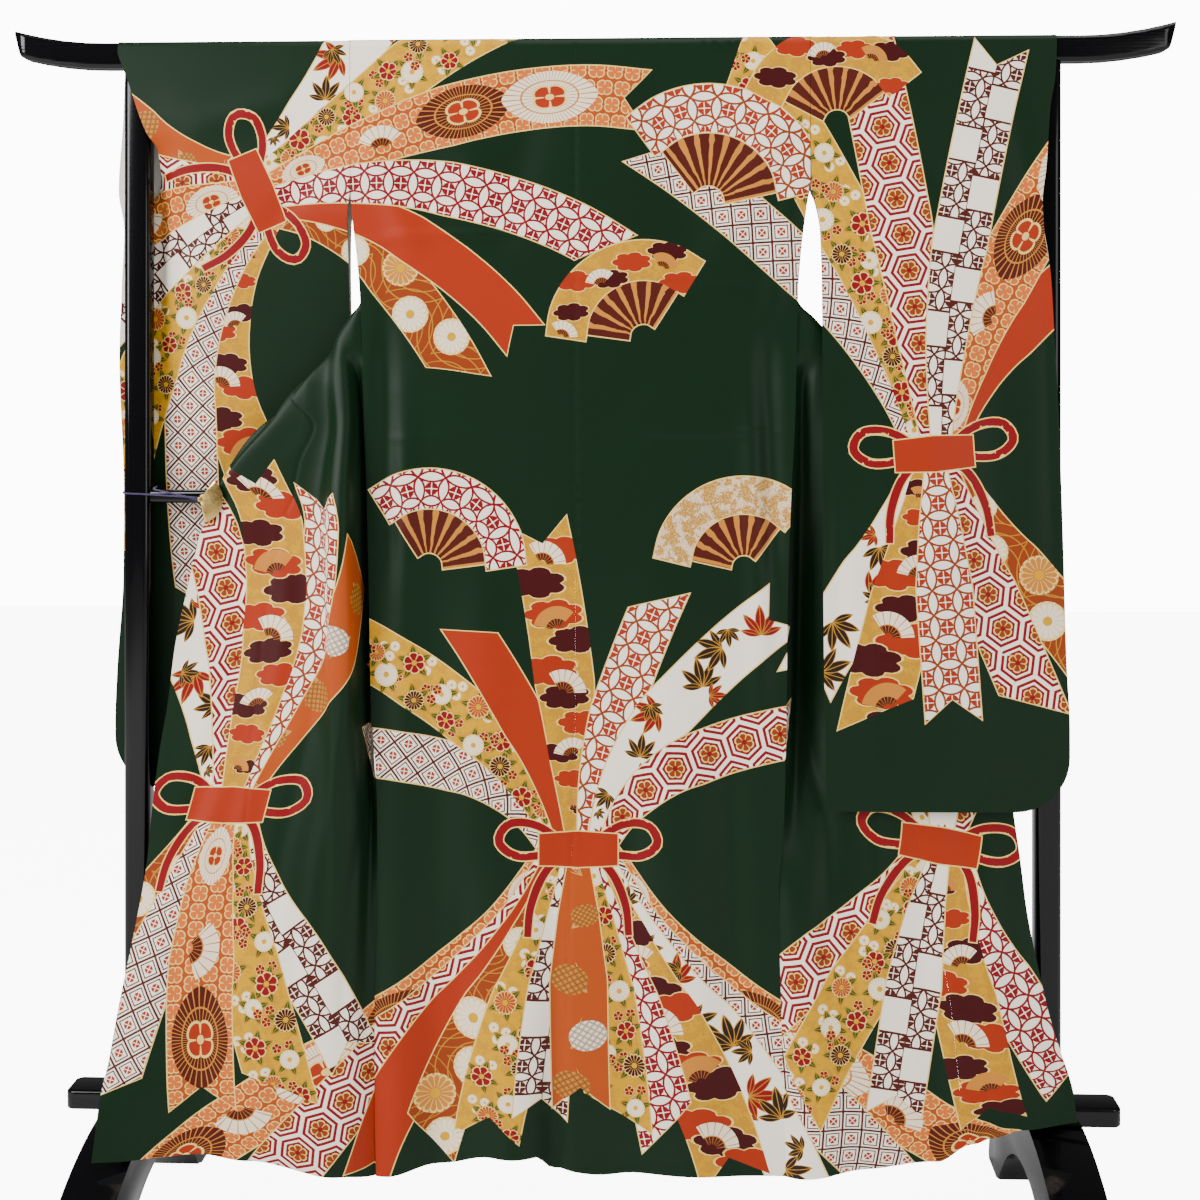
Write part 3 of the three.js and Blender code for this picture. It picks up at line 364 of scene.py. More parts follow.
# Sleeves: height, then six knots of the section as x and y, from the body outwards
leftNear = [
    [1686, -337, -18.6, -420, -18.6, -500, -18.6, -580, -18.6, -630, -18.6, -671, -18.6],
    [1645, -336.5, -22, -420, -22, -500, -22, -576, -21.5, -622, -20.8, -655, -20.3],
    [1600, -336, -26, -420, -25, -500, -24.5, -573, -24, -612, -22, -640, -20.5],
    [1573, -335.5, -27.5, -420, -25, -500, -23.5, -570, -22, -603, -20.5, -629, -20],
    [1550, -335, -28.5, -420, -25, -500, -23, -566, -20, -597, -15, -616, -7],
    [1520, -334.5, -30, -420, -25, -500, -21, -566, -17, -598, -9, -615, 5],
    [1494, -334, -31, -420, -24, -500, -18, -570, -13, -602, 0, -621, 20],
    [1460, -338, -30, -420, -20, -500, -12, -588, 0, -616, 18.5, -650, 23],
    [1420, -340, -18, -420, -12, -505, -5, -594, 6, -620, 21.2, -668, 24],
    [1350, -340, -6, -425, -3, -515, 1, -598, 11, -626, 22.8, -678, 24.5],
    [1250, -339, 4, -430, 6, -520, 9, -601, 16, -632, 23.6, -682, 25],
    [1063, -337, 18, -430, 18, -520, 18, -602, 20.6, -637, 25.2, -676, 27],
    [940, -336, 20, -430, 20, -520, 21, -605, 23, -640, 26, -677, 28],
    [796, -335, 22, -430, 23, -520, 24, -608, 26, -646, 28.5, -687, 30],
    [720, -335, 23, -430, 24, -520, 25.5, -608, 27.5, -648, 29.5, -690, 31],
    [629, -334, 25, -430, 26, -520, 27.5, -608, 29.5, -650, 31, -690, 32],
]
leftFar = [
    [1686, -337, 18.6, -420, 18.6, -500, 18.6, -580, 18.6, -630, 18.6, -671, 18.6],
    [1600, -336, 16, -420, 20, -500, 22, -580, 23, -632, 23.5, -676, 24],
    [1494, -334, 8, -420, 18, -500, 23, -580, 26, -634, 28, -684, 28.5],
    [1440, -339, 8, -420, 18, -500, 24, -590, 27, -636, 28.4, -676, 28.6],
    [1350, -341, 16, -425, 22, -515, 25, -598, 27, -640, 28.5, -680, 28.8],
    [1250, -340, 22, -430, 25, -520, 27, -601, 28, -640, 28.6, -682, 29],
    [1063, -338, 28, -430, 28, -520, 28, -602, 29, -640, 29.6, -676, 30],
    [940, -337, 28, -430, 28, -520, 28.5, -605, 29.6, -640, 30.2, -677, 31],
    [796, -336, 28, -430, 28.5, -520, 29, -608, 30.6, -646, 32, -687, 33],
    [720, -336, 28, -430, 28.5, -520, 29.5, -608, 31.2, -648, 33, -690, 34],
    [629, -335, 28, -430, 29, -520, 30.5, -608, 32.5, -650, 34, -690, 35],
]
rightNear = [
    [1686, 313, -18.6, 385, -18.6, 455, -18.6, 525, -18.6, 592, -18.6, 656, -18.6],
    [1643, 312.8, -22.5, 385, -22.5, 455, -22.5, 525, -22.5, 590, -22.2, 653, -22],
    [1603, 312.7, -26, 385, -26, 454, -26, 523, -26, 586, -25.5, 646, -25],
    [1515, 312.5, -30, 385, -32, 454, -32.5, 522, -32.5, 582, -31, 639, -30],
    [1494, 312.4, -31, 385, -33.5, 454, -34, 521, -34, 580, -32.5, 636, -31],
    [1472, 318, -33, 385, -36, 454, -37, 520, -36.5, 578, -34.5, 633.5, -32.5],
    [1430, 325.5, -38, 388, -41, 455, -42, 520, -41, 578, -38.5, 635, -36.5],
    [1366, 326.5, -45, 389, -48, 456, -49, 522, -47, 582, -44, 643, -42],
    [1270, 327, -54, 390, -56, 457, -56, 524, -54, 586, -51, 647, -49],
    [1164, 327, -60, 390, -62, 458, -62, 526, -60, 589, -57, 651.5, -55],
    [1005, 327, -66, 391, -67.5, 459, -67, 528, -65, 592, -62, 656, -60],
    [840, 328, -69, 392, -70.5, 461, -70, 530, -68, 596, -65, 660, -63],
    [740, 329.5, -70.5, 393, -72, 462, -71.5, 532, -69.5, 599, -66.5, 664.5, -64.5],
    [629, 331, -72, 394, -73.5, 463, -73, 533, -71, 600, -68, 664.5, -66],
]
rightFar = [
    [1686, 313, 18.6, 385, 18.6, 455, 18.6, 525, 18.6, 592, 18.6, 656, 18.6],
    [1645, 312.9, 17.5, 385, 18.5, 455, 19, 522, 19.2, 584, 19.5, 642, 20],
    [1600, 312.7, 16, 385, 17, 452, 17.5, 515, 18, 570, 18.3, 617, 18.5],
    [1550, 312.6, 12, 383, 12, 449, 11.5, 510, 11, 564, 9, 611, 6],
    [1515, 312.5, 9.5, 383, 7, 449, 5, 510, 2, 564, -3, 611, -10],
    [1494, 312.4, 8, 384, 3, 450, 0, 512, -4, 566, -10, 613, -18],
    [1472, 320, 1, 385, -5, 452, -9, 514, -14, 570, -20, 623, -26],
    [1430, 326.5, -13, 388, -20, 455, -24, 519, -27, 577, -30.5, 635, -34.3],
    [1366, 327.5, -32, 389, -36, 456, -38, 522, -39, 582, -39.5, 643, -39.8],
    [1270, 328, -45, 390, -48, 457, -49, 524, -48.5, 586, -47.5, 647, -46.8],
    [1164, 328, -53, 390, -56, 458, -56.5, 526, -55.5, 589, -54, 651.5, -52.8],
    [1005, 328, -60.5, 391, -62.5, 459, -62.5, 528, -61, 592, -59, 656, -57.8],
    [840, 329, -64.5, 392, -66.3, 461, -66.2, 530, -64.6, 596, -62.3, 660, -60.8],
    [740, 330.5, -66.6, 393, -68.3, 462, -68, 532, -66.4, 599, -64, 664.5, -62.3],
    [629, 332, -69.8, 394, -71.3, 463, -70.8, 533, -68.8, 600, -65.8, 664.5, -63.8],
]


# Lets the lowest rows follow the hem line
def overHem(x, height):
    share = np.clip((cloth["hemBlend"] - height) / (cloth["hemBlend"] - cloth["lowest"]), 0, 1)
    at, line = np.array(hemTable).T
    i = np.clip(np.searchsorted(at, x) - 1, 0, len(at) - 2)
    hem = line[i] + (line[i + 1] - line[i]) * smooth((x - at[i]) / (at[i + 1] - at[i]))
    return height + (hem - cloth["lowest"]) * share * share


# Turns the rows above the bar's corner over its rounded edge. side is -1 near the viewer and 1 beyond
def overBar(grid, heights, side):
    past = heights - cloth["barZ"]
    for row, s in enumerate(past):
        if s <= 0:
            share = smooth((s + 9.5) / 9.5)
            grid[row, :, 1] += side * -0.25 * share
            continue
        turn = min(s, arcLength) / cloth["barRadius"]
        grid[row, :, 1] = side * (cloth["barY"] + cloth["barRadius"] * math.cos(turn) - max(0, s - arcLength))
        grid[row, :, 2] = cloth["barZ"] + cloth["barRadius"] * math.sin(turn)


# Depth of soft lines pressed or pulled into cloth: each from (x, z) to (x, z), half width, depth
def creaseDepth(x, z, creases):
    total = np.zeros(np.broadcast(x, z).shape)
    for x0, z0, x1, z1, width, depth in creases:
        dx, dz = x1 - x0, z1 - z0
        along = ((x - x0) * dx + (z - z0) * dz) / (dx * dx + dz * dz)
        off = np.hypot(x - x0 - np.clip(along, 0, 1) * dx, z - z0 - np.clip(along, 0, 1) * dz)
        fade = smooth(np.clip(along, 0, 1) / 0.25) * smooth((1 - np.clip(along, 0, 1)) / 0.25) * 0.85 + 0.15
        total += depth * fade * np.exp(-((off / width) ** 2))
    return total


# fine gives the heights between which the mesh is closer, and its steps there
def makePatch(tag, xs, heights, grid, border, step=(8.0, 10.0), fine=None):
    return {"tag": tag, "x0": xs[0], "dx": xs[1] - xs[0], "z0": heights[0], "dz": heights[1] - heights[0],
            "grid": grid, "border": border, "step": step, "fine": fine}


# Points of the sampled surface at cloth coordinates x and z, by cubic interpolation
def readPatch(patch, x, z):
    grid = patch["grid"]
    u = np.clip((x - patch["x0"]) / patch["dx"], 1, grid.shape[1] - 2.001)
    v = np.clip((z - patch["z0"]) / patch["dz"], 1, grid.shape[0] - 2.001)
    i, j = np.floor(u).astype(int), np.floor(v).astype(int)

    def weights(t):
        return [((2 - t) * t - 1) * t / 2, ((3 * t - 5) * t * t + 2) / 2, ((4 - 3 * t) * t + 1) * t / 2,
                (t - 1) * t * t / 2]

    across, up = weights(u - i), weights(v - j)
    result = np.zeros((len(x), 3))
    for b in range(4):
        for a in range(4):
            result += (across[a] * up[b])[:, None] * grid[j + b - 1, i + a - 1]
    return result


def readNormals(patch, x, z, reach=1.5):
    dx = readPatch(patch, x + reach, z) - readPatch(patch, x - reach, z)
    dz = readPatch(patch, x, z + reach) - readPatch(patch, x, z - reach)
    normal = np.cross(dx, dz)
    return normal / np.maximum(np.linalg.norm(normal, axis=1), 1e-9)[:, None]


def gridHeights(step=cloth["gridStep"]):
    return np.arange(cloth["lowest"] - 3 * step, topHeight + 3 * step, step)


# Border points along one edge, from the lowest height up. Neighbours share their heights, so no seam gapes
def sideLine(read, heights, step=8.0):
    z = np.append(np.arange(heights[0], heights[1] - step / 3, step), heights[1])
    return list(zip(read(z), z))


# Joins a left and a right edge, both given upwards, into one border
def closeBorder(left, right, step=8.0):
    def between(a, b):
        count = max(2, int(math.hypot(b[0] - a[0], b[1] - a[1]) / step))
        return [(a[0] + (b[0] - a[0]) * k / count, a[1] + (b[1] - a[1]) * k / count) for k in range(1, count)]
    return left[::-1] + between(left[0], right[0]) + right + between(right[-1], left[-1])


backCreases = [
    (-330, 1420, -40, 1432, 7, -1.3), (40, 1150, 285, 1147, 5, -0.9), (-300, 1142, -30, 1146, 5, -0.9),
    (-330, 1600, -230, 1380, 22, -3.0), (-300, 1650, -120, 1500, 26, -2.4), (300, 1640, 180, 1380, 26, -2.6),
    (310, 1560, 240, 1250, 18, -2.2), (-60, 1690, -130, 1380, 30, 2.0), (90, 1690, 150, 1330, 34, 2.0),
    (250, 1330, 262, 900, 16, 4.5), (232, 1240, 246, 700, 18, -3.5), (-285, 1330, -270, 900, 15, 4.0),
    (-262, 1200, -250, 640, 22, -4.0), (-140, 1000, -150, 400, 44, -5.0), (110, 1000, 120, 420, 50, -4.5),
    (60, 700, 66, 150, 24, 4.0), (195, 760, 205, 160, 26, 4.5), (-170, 560, -178, 150, 18, 4.0),
    (0, 900, -6, 500, 40, 3.0),
]
tuck = {"height": 1359.0, "from": -120.0, "to": 292.0, "past": 40.0, "depth": 1.1}


def backPatch(side):
    heights = gridHeights()
    rows = readTable(backTable, heights)
    left = rows[:, 1] if side < 0 else rows[:, 2]
    right = rows[:, 2] if side < 0 else rows[:, 3]
    step = cloth["gridStep"]
    xs = np.arange(left.min() - 3 * step, right.max() + 3 * step, step)
    x = np.broadcast_to(xs, (len(heights), len(xs)))
    h = heights[:, None]
    y = np.broadcast_to(rows[:, 4:5], x.shape).copy()
    for at, halfWidth, deep, start in backFolds:
        grow = np.clip((start - h) / (start - cloth["lowest"]), 0, 1)
        y = y + cloth["backRelief"] * deep * grow * np.exp(-(((x - at) / halfWidth) ** 2))
    calm = smooth((1686 - h) / 60)
    y = y + cloth["backRelief"] * creaseDepth(x, h, backCreases) * calm
    y = y + cloth["seamDip"] * calm * np.exp(-(((x - rows[:, 2:3]) / cloth["lineWidth"]) ** 2))
    line = np.exp(-(((h - tuck["height"]) / cloth["lineWidth"]) ** 2))
    y = y + tuck["depth"] * line * (x > tuck["from"]) * (x < tuck["to"] + tuck["past"])
    grid = np.stack([x, y, overHem(x, h * np.ones_like(x))], axis=-1)
    overBar(grid, heights, -1)
    seam = cloth["seam"]

    def edge(column, shift):
        return lambda z: readTable(backTable, np.minimum(z, 1686))[:, column] + shift

    span = (cloth["lowest"], topHeight)
    columns = ((1, seam), (2, -seam)) if side < 0 else ((2, seam), (3, -seam))
    border = closeBorder(*[sideLine(edge(*c), span) for c in columns])
    return makePatch("back", xs, heights, grid, border, (7.0, 9.0))


sideSeam = {-1: -300.0, 1: 280.0}     # where the fronts' cloth coordinates begin
frontCreases = {
    -1: [(-345, 900, -352, 250, 9, 2.5), (-420, 1040, -395, 300, 12, -3.0), (-470, 990, -450, 330, 14, 2.6),
         (-540, 1010, -520, 480, 16, -2.6), (-600, 1000, -585, 300, 18, 3.2),
         (-560, 700, -640, 200, 22, -4.0),
         (-500, 620, -560, 190, 20, 4.0), (-440, 520, -470, 160, 18, -3.6), (-660, 560, -700, 160, 20, 3.6)],
    1: [(340, 1000, 350, 300, 12, 3.0), (400, 900, 420, 260, 18, -3.2), (470, 620, 500, 160, 20, 3.8),
        (560, 600, 590, 170, 22, -3.8), (630, 560, 670, 180, 20, 3.4), (520, 900, 540, 500, 24, 2.4)],
}


# The front sampled by arc length from the side seam, with the arc lengths of the okumi seam and free edge
def frontSections(side, table):
    heights = gridHeights(2.5)
    rows = readTable(table, heights)
    knots = np.linspace(0, 9, 361)
    x = alongKnots(rows[:, 2::2].copy(), knots)
    y = alongKnots(rows[:, 3::2].copy(), knots)
    length = np.concatenate([np.zeros((len(heights), 1)),
                             np.cumsum(np.hypot(np.diff(x), np.diff(y)), axis=1)], axis=1)
    step = 2.5
    reach = np.arange(-4 * step, length[:, -1].max() + 4 * step, step)
    grid = np.zeros((len(heights), len(reach), 3))
    seam = np.zeros(len(heights))
    for r in range(len(heights)):
        seam[r] = np.interp(rows[r, 1], knots, length[r])
        for axis, line in ((0, x[r]), (1, y[r])):
            inside = np.interp(reach, length[r], line)
            start = (line[1] - line[0]) / (length[r, 1] - length[r, 0])
            end = (line[-1] - line[-5]) / (length[r, -1] - length[r, -5])
            inside = np.where(reach < 0, line[0] + start * reach, inside)
            grid[r, :, axis] = np.where(reach > length[r, -1], line[-1] + end * (reach - length[r, -1]),
                                        inside)
    h = heights[:, None] * np.ones_like(grid[:, :, 0])
    grid[:, :, 2] = overHem(grid[:, :, 0], h)
    clothX = sideSeam[side] + side * reach
    depth = creaseDepth(clothX[None, :], h, frontCreases[side]) * smooth((1060 - h) / 120)
    depth = depth + 0.8 * np.exp(-(((reach[None, :] - seam[:, None]) / 3.0) ** 2)) * (h < 1370)
    grid[:, :, 1] += depth
    overBar(grid, heights, 1)
    if side < 0:
        clothX, grid = clothX[::-1], grid[:, ::-1]
    return {"heights": heights, "xs": clothX, "grid": grid, "seam": seam, "end": length[:, -1]}


def frontPatch(side, sections, part):
    heights = sections["heights"]

    def edge(values, shift):
        return lambda z: sideSeam[side] + side * (np.interp(z, heights, values) + shift)

    zero = np.zeros_like(heights)
    gap = cloth["seam"]
    if part == "body":
        span = (cloth["lowest"], topHeight)
        lines = [sideLine(edge(zero, gap), span), sideLine(edge(sections["seam"], -gap), span)]
    else:
        span = (cloth["lowest"], 1366.0)
        lines = [sideLine(edge(sections["seam"], gap), span), sideLine(edge(sections["end"], 0), span)]
    border = closeBorder(*(lines if side > 0 else lines[::-1]))
    tag = "frontLeft" if side < 0 else "frontRight"
    return makePatch(tag, sections["xs"], heights, sections["grid"], border, (4.6, 9.0),
                     fine=(1030, 1350, 2.2, 3.0))


sleeveBottom = 629.0
sleeveCorner = 75.0
sleeveCreases = {
    "leftNear": [(-345, 1560, -470, 1420, 20, 3.0), (-380, 1640, -600, 1560, 26, -2.6),
                 (-560, 1500, -590, 1350, 14, 3.0),
                 (-645, 1400, -655, 900, 12, 3.0)],
    "leftFar": [(-400, 1620, -420, 900, 26, 4.0), (-520, 1600, -540, 800, 30, -4.0),
                (-620, 1500, -630, 800, 20, 3.0)],
    "rightNear": [(330, 1560, 420, 1300, 24, 2.8), (380, 1650, 520, 1450, 30, -2.4),
                  (345, 1100, 352, 700, 14, 2.4),
                  (640, 1500, 646, 900, 12, 2.6), (470, 1240, 480, 720, 40, -3.2),
                  (560, 1300, 570, 760, 36, 3.0),
                  (335, 848, 655, 842, 5, 1.3), (590, 1660, 620, 1420, 18, 2.6),
                  (400, 1000, 410, 660, 26, 3.0)],
    "rightFar": [(400, 1600, 420, 900, 26, -4.0), (520, 1600, 540, 800, 30, 4.0)],
}


def sleevePatch(tag, name, side, table, far):
    step = cloth["gridStep"]
    heights = np.arange(sleeveBottom - 3 * step, topHeight + 3 * step, step)
    rows = readTable(table, heights)
    knots = np.linspace(0, 5, 201)
    sectionX = alongKnots(rows[:, 1::2].copy(), knots)
    sectionY = alongKnots(rows[:, 2::2].copy(), knots)
    xs = np.arange(sectionX.min() - 3 * step, sectionX.max() + 3 * step, step)
    y = np.zeros((len(heights), len(xs)))
    for r in range(len(heights)):
        a, b = (sectionX[r], sectionY[r]) if side > 0 else (sectionX[r][::-1], sectionY[r][::-1])
        y[r] = np.interp(xs, a, b)
        low, high = (b[1] - b[0]) / (a[1] - a[0]), (b[-1] - b[-2]) / (a[-1] - a[-2])
        y[r] = np.where(xs < a[0], b[0] + low * (xs - a[0]), y[r])
        y[r] = np.where(xs > a[-1], b[-1] + high * (xs - a[-1]), y[r])
    x = np.broadcast_to(xs, y.shape)
    h = heights[:, None] * np.ones_like(y)
    edgeCalm = smooth((1686 - h) / 60) * smooth((h - sleeveBottom) / 50 + 0.25)
    inner, outer = rows[:, 1:2], rows[:, 11:12]
    rimCalm = smooth(np.abs(x - inner) / 24) * smooth(np.abs(x - outer) / 24)
    y = y + creaseDepth(x, h, sleeveCreases[name]) * edgeCalm * rimCalm
    grid = np.stack([x, y, h], axis=-1)
    overBar(grid, heights, 1 if far else -1)
    shift = 0.6

    def edge(column, by):
        return lambda z: readTable(table, np.minimum(z, 1686))[:, column] + by

    bodySide = sideLine(edge(1, side * shift), (sleeveBottom, topHeight))
    wristSide = sideLine(edge(11, 0), (sleeveBottom + sleeveCorner, topHeight))
    wristX = float(readTable(table, np.array([sleeveBottom]))[0, 11])
    corner = []
    for k in range(10):
        angle = math.radians(90 * k / 10)
        corner.append((wristX - side * sleeveCorner * (1 - math.sin(angle)),
                       sleeveBottom + sleeveCorner * (1 - math.cos(angle))))
    wristSide = corner + wristSide
    lines = [bodySide, wristSide] if side > 0 else [wristSide, bodySide]
    if far:         # seen from behind, so left and right change places
        xs, grid = -xs[::-1], grid[:, ::-1]
        lines = [[(-px, pz) for px, pz in line] for line in lines[::-1]]
    return makePatch(tag, xs, heights, grid, closeBorder(*lines), (7.0, 10.0))


# A point of the smooth line between b and c
def splinePoint(a, b, c, d, t):
    return 0.5 * (2 * b + (c - a) * t + (2 * a - 5 * b + 4 * c - d) * t * t
                  + (3 * b - a - 3 * c + d) * t ** 3)


# Even points on a smooth line through the given ones
def catmull(points, spacing):
    ends = [2 * points[0] - points[1]] + list(points) + [2 * points[-1] - points[-2]]
    fine = []
    for k in range(len(points) - 1):
        a, b, c, d = ends[k:k + 4]
        for t in np.linspace(0, 1, 24, endpoint=False):
            fine.append(splinePoint(a, b, c, d, t))
    fine = np.array(fine + [points[-1]])
    length = np.concatenate([[0], np.cumsum(np.linalg.norm(np.diff(fine, axis=0), axis=1))])
    count = max(4, int(length[-1] / spacing))
    at = np.linspace(0, length[-1], count + 1)
    return np.stack([np.interp(at, length, fine[:, 0]), np.interp(at, length, fine[:, 1])], axis=1), at


endCuts = {
    "flat": lambda v: 0 * v,
    "slantL": lambda v: 0.75 * (1 + v),
    "slantR": lambda v: 0.75 * (1 - v),
    "notch": lambda v: 0.8 * (1 - abs(v)),
}


# A printed ribbon. path and width are in centimetres, on is the set of patches that it runs over
def makeRibbon(fill, on, path, width, start="flat", end="flat"):
    centre, at = catmull(np.array(path, float) * 10, 7.0)
    tangent = np.gradient(centre, axis=0)
    tangent /= np.linalg.norm(tangent, axis=1)[:, None]
    normal = np.stack([-tangent[:, 1], tangent[:, 0]], axis=1)
    half = np.interp(np.linspace(0, 1, len(at)), np.linspace(0, 1, len(width)), np.array(width) * 5.0)
    ribbon = {"fill": fill, "on": on, "centre": centre, "at": at, "normal": normal, "half": half,
              "start": endCuts[start], "end": endCuts[end], "stamps": []}

    def place(u, v):
        c = np.array([np.interp(u, at, centre[:, k]) for k in (0, 1)])
        n = np.array([np.interp(u, at, normal[:, k]) for k in (0, 1)])
        t = np.array([n[1], -n[0]])
        beyond = min(0, u) + max(0, u - at[-1])
        return c + t * beyond + n * v * np.interp(u, at, half)

    ribbon["place"] = place
    shares = np.linspace(-1, 1, 7)
    head = [ribbon["start"](v) * half[0] for v in shares]
    tail = [at[-1] - ribbon["end"](v) * half[-1] for v in shares]
    outline = [place(u, v) for u, v in zip(head, shares)]
    outline += [place(u, 1) for u in at if head[-1] + 2 < u < tail[-1] - 2]
    outline += [place(u, v) for u, v in zip(tail[::-1], shares[::-1])]
    outline += [place(u, -1) for u in at[::-1] if head[0] + 2 < u < tail[0] - 2]
    ribbon["outline"] = np.array(outline)
    ribbons.append(ribbon)
    return ribbon


# Along and across, in millimetres, and the distances to the side and to the cut ends
def ribbonCoordinates(ribbon, points):
    centre, at, normal, half = (ribbon[k] for k in ("centre", "at", "normal", "half"))
    start, step = centre[:-1], np.diff(centre, axis=0)
    size = (step ** 2).sum(1)
    best = np.full(len(points), 1e18)
    u = np.zeros(len(points))
    v = np.zeros(len(points))
    for k in range(len(step)):
        low = -3.0 if k == 0 else 0.0
        high = 4.0 if k == len(step) - 1 else 1.0
        t = np.clip(((points - start[k]) @ step[k]) / size[k], low, high)
        gap = points - start[k] - t[:, None] * step[k]
        distance = (gap ** 2).sum(1)
        near = distance < best
        best[near] = distance[near]
        u[near] = at[k] + t[near] * math.sqrt(size[k])
        facing = normal[k] + (normal[k + 1] - normal[k]) * np.clip(t[near], 0, 1)[:, None]
        v[near] = np.sign((gap[near] * facing).sum(1)) * np.sqrt(distance[near])
    h = np.interp(u, at, half)
    share = np.clip(v / h, -1, 1)
    ends = np.minimum(at[-1] - ribbon["end"](share) * half[-1] - u, u - ribbon["start"](share) * half[0])
    return u, v, h - np.abs(v), ends


ribbons = []
overLeft, overRight = {"back", "sleeveLeft"}, {"back", "sleeveRight"}
hemPieces = {"back", "frontLeft", "frontRight"}


# Centre line of a strip that leaves its tie along the axis and then flares.
# Angles are in degrees, 90 is upwards
def sweepPath(start, axis, spread, bend, length, count=7):
    points = [start]
    for k in range(count):
        share = (k + 0.5) / count
        heading = math.radians(axis + spread * min(1, 0.35 + 1.3 * share) + bend * share * share)
        x, z = points[-1]
        points.append((x + math.cos(heading) * length / count, z + math.sin(heading) * length / count))
    return points


# Places across and along a bundle, for one side of its tied cord
bowLoop = [(1, 0), (5.5, 3.2), (9.5, 3.6), (11, 1.2), (8.5, -0.8), (4, -0.6), (1, 0)]
bowEnd = [(1, 0), (4.5, -3), (6.5, -7.5), (7, -12)]
waist = 0.06       # how far apart the strips lie at the tie, in centimetres for each degree of spread


# Strips held by a tied cord. Rows: filling, spread, bend, length, width, cut of the end
def makeBundle(on, tie, axis, heads, tails):
    turn = math.radians(axis)
    along = np.array([math.cos(turn), math.sin(turn)])
    across = np.array([-along[1], along[0]])
    centre = np.array(tie, float)
    for way, rows in ((-1, tails), (1, heads)):
        for fill, spread, bend, length, width, end in rows:
            start = tuple(centre + across * waist * spread * way)
            path = sweepPath(start, axis + (0 if way > 0 else 180), spread, bend, length)
            makeRibbon(fill, on, path, (2.6, width * 0.72, width, width, width), end=end)
    for side in (-1, 1):
        for route in (bowLoop, bowEnd):
            makeRibbon("cord", on, [centre + side * a * across + b * along for a, b in route],
                       (1.3, 1.5, 1.3))
    makeRibbon("coral", on, [centre - across * 5.6, centre + across * 5.6], (4.6, 5.2, 4.6))


# An open folding fan: its ribs and its leaf
def makeFan(on, pivot, turn, size, fill):
    for part, radius, width in (("ribs", 0.36, 0.46), (fill, 0.78, 0.42)):
        angles = [math.radians(turn + a) for a in range(-66, 67, 22)]
        arc = [(pivot[0] + size * radius * math.cos(a),
                pivot[1] + size * radius * math.sin(a)) for a in angles]
        makeRibbon(part, on, arc, (size * width, size * width))


# Hem: a wide bundle over the lower back and both fronts
makeBundle(
    hemPieces, (-1, 57), 90,
    heads=[("lattice", 70, 24, 36, 7, "slantL"), ("gold", 47, 18, 42, 8.2, "notch"),
           ("coral", 26, 10, 36, 6.6, "slantR"),
           ("clouds", 5, 8, 46, 8.4, "notch"), ("shippoOchre", -17, -8, 39, 7.2, "slantL"),
           ("leaves", -39, -16, 44, 8, "notch"),
           ("kikko", -62, -24, 36, 7.4, "slantR")],
    tails=[("florets", -74, 50, 84, 9.6, "notch"), ("florets", 74, -50, 84, 9.6, "notch"),
           ("kikko", -62, 40, 68, 8.8, "slantL"),
           ("lattice", 62, -40, 68, 8.8, "slantR"), ("coral", -50, 34, 54, 8, "notch"),
           ("leaves", 50, -34, 56, 9, "notch"),
           ("grass", -38, 26, 48, 8.6, "slantR"), ("clouds", 37, -24, 50, 9.6, "notch"),
           ("gold", -25, 18, 43, 9.6, "notch"),
           ("shippo", 24, -14, 43, 8.4, "slantL"), ("blocks", -12, 10, 38, 7.6, "notch"),
           ("gold", 12, -8, 40, 9, "slantR"),
           ("cones", 0, 2, 36, 8.2, "notch")])

# Drawn-out left front
makeBundle(
    {"frontLeft"}, (-55, 63), 90,
    heads=[("leaves", 34, -20, 42, 8.8, "notch"), ("cones", -34, 18, 40, 8, "slantR"),
           ("kikko", 17, -8, 46, 8.4, "slantL"),
           ("shippoOchre", -16, 8, 45, 7.8, "notch"), ("clouds", 0, 0, 48, 8.8, "notch")],
    tails=[("grass", -42, 18, 40, 8.2, "notch"), ("blocks", 42, -18, 40, 7.8, "notch"),
           ("lattice", -22, 10, 43, 8.2, "slantL"),
           ("gold", 21, -8, 43, 9.2, "slantR"), ("florets", 0, 4, 42, 9.2, "notch")])

# Right front, under the sleeve
makeBundle(
    {"frontRight"}, (50, 58), 80,
    heads=[("gold", 24, -10, 34, 8.2, "notch"), ("kikko", -22, 8, 36, 8, "slantR"),
           ("leaves", 0, 0, 38, 8.4, "notch")],
    tails=[("kikko", -46, 20, 40, 8.2, "notch"), ("shippo", 46, -16, 38, 8, "slantL"),
           ("clouds", 24, -8, 41, 9, "notch"),
           ("gold", -24, 8, 42, 9, "slantR"), ("blocks", 0, 0, 38, 7.8, "notch")])

# Left sleeve and shoulder, lying on its side
makeBundle(
    overLeft, (-47, 149), 22,
    heads=[("leaves", 46, -40, 46, 8.6, "notch"), ("grass", -66, -20, 40, 7.6, "slantR"),
           ("gold", 24, -36, 54, 8.4, "slantL"),
           ("coral", -46, -30, 44, 7, "notch"), ("florets", 2, -34, 58, 8.8, "notch"),
           ("shippo", -24, -34, 54, 7.8, "slantR")],
    tails=[("cones", -58, -4, 34, 8, "notch"), ("clouds", 84, 8, 62, 8.6, "notch"),
           ("kikko", -34, 0, 34, 8.4, "slantL"),
           ("lattice", 64, 14, 62, 7.8, "slantR"), ("florets", -10, 10, 36, 8.8, "notch"),
           ("gold", 42, 22, 58, 9, "notch"),
           ("blocks", 16, 22, 46, 7.8, "notch")])

